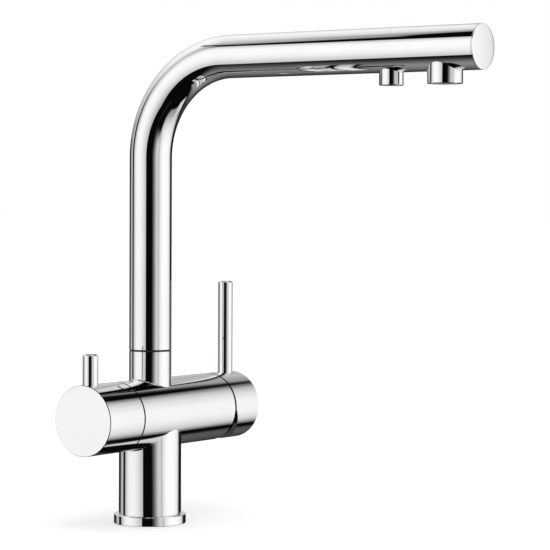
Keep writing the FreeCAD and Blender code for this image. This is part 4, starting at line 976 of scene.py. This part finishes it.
@dataclass
class Studio:
    """Floor, light and camera.

    Attributes:
        azimuth: Camera azimuth in degrees, 0 looking along +Y.
        elevation: Camera elevation in degrees.
        roll: Camera roll in degrees.
        place: Camera position in metres.
        lens: Focal length in millimetres.
        sensor: Width of the camera's sensor in millimetres.
        reach: Nearest and farthest distance that the camera sees.
        floor_size: Side of the floor in metres.
        floor_colours: The floor's two nearly equal paints.
        floor_lift: Light that the floor adds for the camera alone, so that it ends in white.
        lamp_place: Middle of the lamp.
        lamp_aim: Where it points.
        lamp_width: Its diameter.
        lamp_power: Its power in watts.
        surround: Level of the white surround for all but metal and camera.
    """

    azimuth: float = -55.783
    elevation: float = 1.764
    roll: float = 0.242
    place: Place = (-1.2091, -0.9221, 0.2117)
    lens: float = 149.87
    sensor: float = 36.0
    reach: tuple[float, float] = (0.05, 60.0)
    floor_size: float = 60.0
    floor_colours: tuple[Colour, Colour] = ((0.93, 0.93, 0.93, 1), (0.95, 0.95, 0.95, 1))
    floor_lift: float = 0.25
    lamp_place: Place = (-0.5, -0.7, 1.6)
    lamp_aim: Place = (0, -0.08, 0.1)
    lamp_width: float = 1.2
    lamp_power: float = 5.0
    surround: float = 0.82

    def towards_camera(self) -> Vector:
        """Level direction from the tap to the camera."""
        turn = math.radians(self.azimuth)
        return Vector((math.sin(turn), -math.cos(turn), 0))

    def rightwards(self) -> Vector:
        """Level direction to the right of the picture."""
        turn = math.radians(self.azimuth)
        return Vector((math.cos(turn), math.sin(turn), 0))

    def build(self) -> None:
        """Make the whole studio."""
        scene = bpy.context.scene
        scene.view_settings.view_transform = "Standard"
        self._floor()
        self._world(scene)
        self._lamp(scene)
        self._camera(scene)
        LOG.info("studio ready")

    def _camera(self, scene: bpy.types.Scene) -> None:
        """Put the camera at the photograph's place.

        Args:
            scene: The scene.
        """
        data = bpy.data.cameras.new("view_camera")
        data.lens = self.lens
        data.sensor_width = self.sensor
        data.clip_start, data.clip_end = self.reach
        turn, tip, roll = map(math.radians, (self.azimuth, self.elevation, self.roll))
        back = Vector((math.sin(turn) * math.cos(tip), -math.cos(turn) * math.cos(tip), math.sin(tip)))
        right = self.rightwards()
        up = back.cross(right)
        across = math.cos(roll) * right + math.sin(roll) * up
        upright = -math.sin(roll) * right + math.cos(roll) * up
        camera = bpy.data.objects.new("view_camera", data)
        turned = Matrix((across, upright, back)).transposed().to_4x4()
        camera.matrix_world = Matrix.Translation(self.place) @ turned
        scene.collection.objects.link(camera)
        scene.camera = camera

    def _floor(self) -> None:
        """Lay a pale plain floor that keeps the soft shadow of the tap."""
        Bench.clear()
        bpy.ops.mesh.primitive_plane_add(size=self.floor_size, location=(0, 0, 0))
        floor = bpy.context.active_object
        floor.name = "studio_floor"
        material = bpy.data.materials.new("pale_floor")
        material.use_nodes = True
        graph = Graph(material.node_tree)
        pale = graph.mix(graph.noise(3.0, 2.0), *self.floor_colours)
        paint = graph.add("ShaderNodeBsdfDiffuse", {}, {"Color": pale})
        lift = graph.add("ShaderNodeLightPath").out("Is Camera Ray") * self.floor_lift
        glow = graph.add("ShaderNodeEmission", {}, {"Color": WHITE, "Strength": lift})
        both = graph.add("ShaderNodeAddShader", {}, {0: paint.out(), 1: glow.out()})
        graph.add("ShaderNodeOutputMaterial", {}, {"Surface": both.out()})
        floor.data.materials.append(material)
        floor.visible_glossy = False

    def _lamp(self, scene: bpy.types.Scene) -> None:
        """Hang a wide soft lamp above, for the shape of the matt pieces and a faint shadow.

        Args:
            scene: The scene.
        """
        data = bpy.data.lights.new("soft_overhead", "AREA")
        data.shape = "DISK"
        data.size = self.lamp_width
        data.energy = self.lamp_power
        lamp = bpy.data.objects.new("soft_overhead", data)
        lamp.location = self.lamp_place
        lamp.rotation_mode = "QUATERNION"
        aim = Vector(self.lamp_aim) - lamp.location
        lamp.rotation_quaternion = aim.to_track_quat("-Z", "Y")
        lamp.visible_glossy = False
        scene.collection.objects.link(lamp)

    def _world(self, scene: bpy.types.Scene) -> None:
        """Make the surround white, with light panels and dark gaps seen by the metal only.

        Args:
            scene: The scene.
        """
        world = bpy.data.worlds.new("studio_surround")
        world.use_nodes = True
        scene.world = world
        graph = Graph(world.node_tree)
        rays = graph.add("ShaderNodeLightPath")
        plain = graph.add("ShaderNodeBackground", {}, {"Color": WHITE, "Strength": 1.0})
        soft = graph.add("ShaderNodeBackground", {}, {"Color": WHITE, "Strength": self.surround})
        cards = Panels(self, graph).colour()
        panels = graph.add("ShaderNodeBackground", {}, {"Color": cards, "Strength": 1.0})
        lit = graph.add(
            "ShaderNodeMixShader", {}, {0: rays.out("Is Glossy Ray"), 1: soft.out(), 2: panels.out()}
        )
        seen = graph.add(
            "ShaderNodeMixShader", {}, {0: rays.out("Is Camera Ray"), 1: lit.out(), 2: plain.out()}
        )
        graph.add("ShaderNodeOutputWorld", {}, {"Surface": seen.out()})


@dataclass(frozen=True)
class Card:
    """One light panel or dark flag round the tap, by direction.

    Attributes:
        sides: Bearings where it begins, is full, begins to fade and has gone.
        ends: Heights in the same order, from below.
        across: (bearing, level) pairs.
        upward: (height, share of that level) pairs.
        behind: Whether its bearings are counted 0 to 360, through the back.
        above: Height from which its sides lean left going up, and degrees per degree;
            below 0 they lean right.
        under: The same going down.
        tilt: Degrees by which its edges sink for each degree to the right.
        middle: Bearing of the middle of a flat panel, whose level edges near the
            horizon towards its sides.
    """

    sides: tuple[float, float, float, float]
    ends: tuple[float, float, float, float]
    across: Pairs
    upward: Pairs = ((-90, 1.0), (90, 1.0))
    behind: bool = False
    above: tuple[float, float] = (90.0, 0.0)
    under: tuple[float, float] = (-90.0, 0.0)
    tilt: float = 0.0
    middle: Optional[float] = None


class Panels:
    """Light panels and dark gaps round the tap, seen by the polished metal.

    Bearings are degrees to the right of the camera, seen from the tap, from
    -180 to 180; heights are degrees above the horizon. The cards are laid one
    over the other, the first one lowest, on near black.
    """

    BLACK: Colour = (0.0025, 0.0025, 0.0025, 1)
    SHADE: Colour = (0.003, 0.003, 0.003, 1)
    DARK: Pairs = ((-180, 0.003), (360, 0.003))
    COOL: Place = (0.985, 0.992, 1.0)
    CARDS = (
        # Glow of the table far below, on the rear side.
        Card((126, 146, 268, 292), (-99, -98, -12, 0),
             ((130, 0.05), (146, 0.2), (158, 0.28), (190, 0.18), (240, 0.2), (275, 0.07), (292, 0.0)),
             ((-60, 1.3), (-50, 1.0), (-40, 0.6), (-34, 0.35), (-20, 0.18), (0, 0.0)), behind=True),
        # Ceiling.
        Card((-190, -189, 189, 190), (58, 70, 95, 96), ((-180, 0.6), (0, 0.4), (180, 0.6))),
        # Rear wall, ending at a stand on its right.
        Card((164, 172, 269.6, 271.2), (2, 6, 60, 74),
             ((166, 0.75), (182, 0.92), (200, 1.05), (236, 1.04), (246, 0.96), (257, 0.7),
              (263, 0.5), (270, 0.38)),
             ((3, 0.05), (10, 0.5), (18, 0.68), (30, 0.94), (46, 1.0), (54, 0.86), (62, 0.76)),
             behind=True, above=(51.3, 2.0)),
        # Low light strip at the back.
        Card((168, 173, 186, 194), (3, 6, 24, 34), ((168, 0.68), (194, 0.66)), behind=True),
        # Rear right wall, seen in the crown of the barrel.
        Card((136, 147, 176, 184), (5, 8, 58, 66),
             ((137, 0.05), (141, 0.1), (147, 0.34), (158, 0.42), (165, 0.55), (180, 0.46)), behind=True),
        # Narrow strip on the far left.
        Card((-139.5, -132, -115.5, -113), (-14, -9, 6, 12), ((-136, 0.3), (-128, 0.47), (-116, 0.54))),
        # Dark stand beside it.
        Card((-115.5, -113, -105.5, -102), (-40, -39, 8, 26), DARK),
        # Left soft box.
        Card((-104, -99, -23.0, -21.8), (-38.0, -36.2, 40.4, 42.0),
             ((-104, 0.5), (-97, 0.62), (-90, 0.85), (-81, 1.04), (-68, 1.08), (-55, 1.05), (-45, 0.95),
              (-36, 0.81), (-28, 0.67), (-22, 0.58)),
             ((-36, 0.62), (-28, 0.68), (-20, 0.8), (-12, 0.9), (-6, 0.93), (4, 1.0), (24, 1.0),
              (31, 0.9), (36, 0.68)),
             under=(-31.0, 1.6), middle=-60.0),
        # Thin stand between that box and the rear wall.
        Card((-128, -106, -88, -86), (42.2, 43.2, 44.8, 45.8), DARK),
        # Right soft box with a cross strut at 47 degrees.
        Card((8, 14, 139, 140), (-57, -53, 33.2, 34.8),
             ((9, 0.0), (14, 0.05), (19, 0.13), (25, 0.31), (30, 0.51), (36, 0.67), (42, 0.71),
              (47.5, 0.51), (54, 0.83), (60, 0.95), (68, 1.05), (80, 1.1), (102, 1.07),
              (114, 0.98), (122, 0.88), (127, 0.68), (132, 0.38), (136, 0.09), (139, 0.0)),
             ((-54, 0.31), (-48, 0.35), (-42, 0.56), (-36, 0.73), (-30, 0.84), (-22, 0.92),
              (-12, 0.99), (8, 1.0), (15, 0.94), (22, 0.84), (27, 0.7), (29.5, 0.58),
              (31.5, 0.4), (33.5, 0.2)),
             above=(18.0, -0.6), under=(-12.0, 0.26)),
        # Cloth over its lower left corner.
        Card((6, 10, 37, 43), (-99, -98, -30, -12), DARK),
        Card((36, 42, 64, 68), (-99, -98, -20, -12), DARK, tilt=0.75),
        # Dark rod low on the right.
        Card((129, 132, 137, 146), (-41, -40, -33.4, -32.4), DARK),
        # Bright patch of table under that box.
        Card((98, 107, 125, 129), (-62, -57, -42, -37), ((100, 0.74), (128, 0.74))),
        # High light on the right.
        Card((55, 72, 118, 126), (42, 50, 95, 96), ((60, 0.8), (120, 0.8))),
    )

    def __init__(self, studio: Studio, graph: Graph) -> None:
        """Work out bearing and height of the direction looked in.

        Args:
            studio: The studio, for its camera direction.
            graph: The world's graph.
        """
        self.graph = graph
        direction = graph.add("ShaderNodeTexCoord").out("Generated")
        unit = graph.add("ShaderNodeVectorMath", {"operation": "NORMALIZE"}, {0: direction}).out()
        forward = self._along(unit, studio.towards_camera())
        right = self._along(unit, studio.rightwards())
        up = self._along(unit, Vector((0, 0, 1)))
        self.bearing = right.maths("ARCTAN2", forward) * (1 / DEGREE)
        self.through_back = self.bearing.maths("FLOORED_MODULO", 360.0)
        self.height = up.maths("ARCSINE") * (1 / DEGREE)

    def _along(self, unit: Signal, axis: Vector) -> Signal:
        """How far a direction points along an axis."""
        settings = {"operation": "DOT_PRODUCT"}
        return self.graph.add("ShaderNodeVectorMath", settings, {0: unit, 1: tuple(axis)}).out("Value")

    def _ramp(self, value: Signal, pairs: Pairs) -> Signal:
        """Level that follows (place, level) pairs; levels may go over 1.

        Args:
            value: Where to read.
            pairs: Places in rising order with their levels.

        Returns:
            The level.
        """
        low, high = pairs[0][0], pairs[-1][0]
        most = max(level for _, level in pairs)
        stops = []
        for place, level in pairs:
            grey = level / most
            stops.append(((place - low) / (high - low), (grey, grey, grey, 1)))
        share = (value - low) / (high - low)
        return self.graph.add("ShaderNodeValToRGB", {"stops": stops}, {0: share}).out("Color") * most

    def _on_flat(self, middle: float) -> Signal:
        """Height that a direction has at the middle of a flat upright panel.

        Args:
            middle: Bearing of that middle.

        Returns:
            The height in degrees.
        """
        aside = ((self.bearing - middle) * DEGREE).maths("COSINE").maths("MAXIMUM", 0.1)
        rise = (self.height * DEGREE).maths("TANGENT")
        return (rise / aside).maths("ARCTANGENT") * (1 / DEGREE)

    def _lay(self, card: Card, under: Union[Colour, Signal]) -> Signal:
        """Lay one card over the others.

        Args:
            card: The card.
            under: What lies below it.

        Returns:
            The light with the card in place.
        """
        bearing = self.through_back if card.behind else self.bearing
        height = self.height if card.middle is None else self._on_flat(card.middle)
        if card.tilt:
            height = height + bearing * card.tilt
        over, lean = card.above
        if lean:
            bearing = bearing + (self.height - over).maths("MAXIMUM", 0.0) * lean
        low, lean = card.under
        if lean:
            bearing = bearing + (low - self.height).maths("MAXIMUM", 0.0) * lean
        begin, full, fade, gone = card.sides
        bottom, lit, dim, top = card.ends
        shown = bearing.step(begin, full) * (1.0 - bearing.step(fade, gone))
        shown = shown * height.step(bottom, lit) * (1.0 - height.step(dim, top))
        level = self._ramp(bearing, card.across) * self._ramp(self.height, card.upward)
        return self.graph.mix(shown, under, level)

    def _seen_again(self) -> Signal:
        """Mark what the metal sees low on the left by way of another part of the tap.

        Returns:
            1 where the tap stands in its own light, 0 elsewhere.
        """
        depth = self.graph.add("ShaderNodeLightPath").out("Glossy Depth")
        low = 1.0 - self.height.step(-26.0, -14.0)
        left = 1.0 - self.bearing.step(10.0, 30.0)
        return depth.step(1.2, 1.8) * low * left

    def colour(self) -> Signal:
        """Light seen by the polished metal in each direction.

        Returns:
            The colour, faintly cool.
        """
        light: Union[Colour, Signal] = self.BLACK
        for card in self.CARDS:
            light = self._lay(card, light)
        light = self.graph.mix(self._seen_again(), light, self.SHADE)
        settings = {"operation": "MULTIPLY"}
        return self.graph.add("ShaderNodeVectorMath", settings, {0: light, 1: self.COOL}).out()


# --------------------------------------------------------------------- making


def main() -> None:
    """Dress the frame, add the fine pieces and set up the studio."""
    logging.basicConfig(level=logging.INFO)
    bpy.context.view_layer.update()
    Bench.clear()
    shelf = FinishShelf()
    shelf.build()
    shelf.dress_frame()
    SpoutEnd(shelf).build()
    AeratorInsert(shelf).build()
    NozzleInsert(shelf).build()
    Studio().build()


if __name__ == "__main__":
    main()
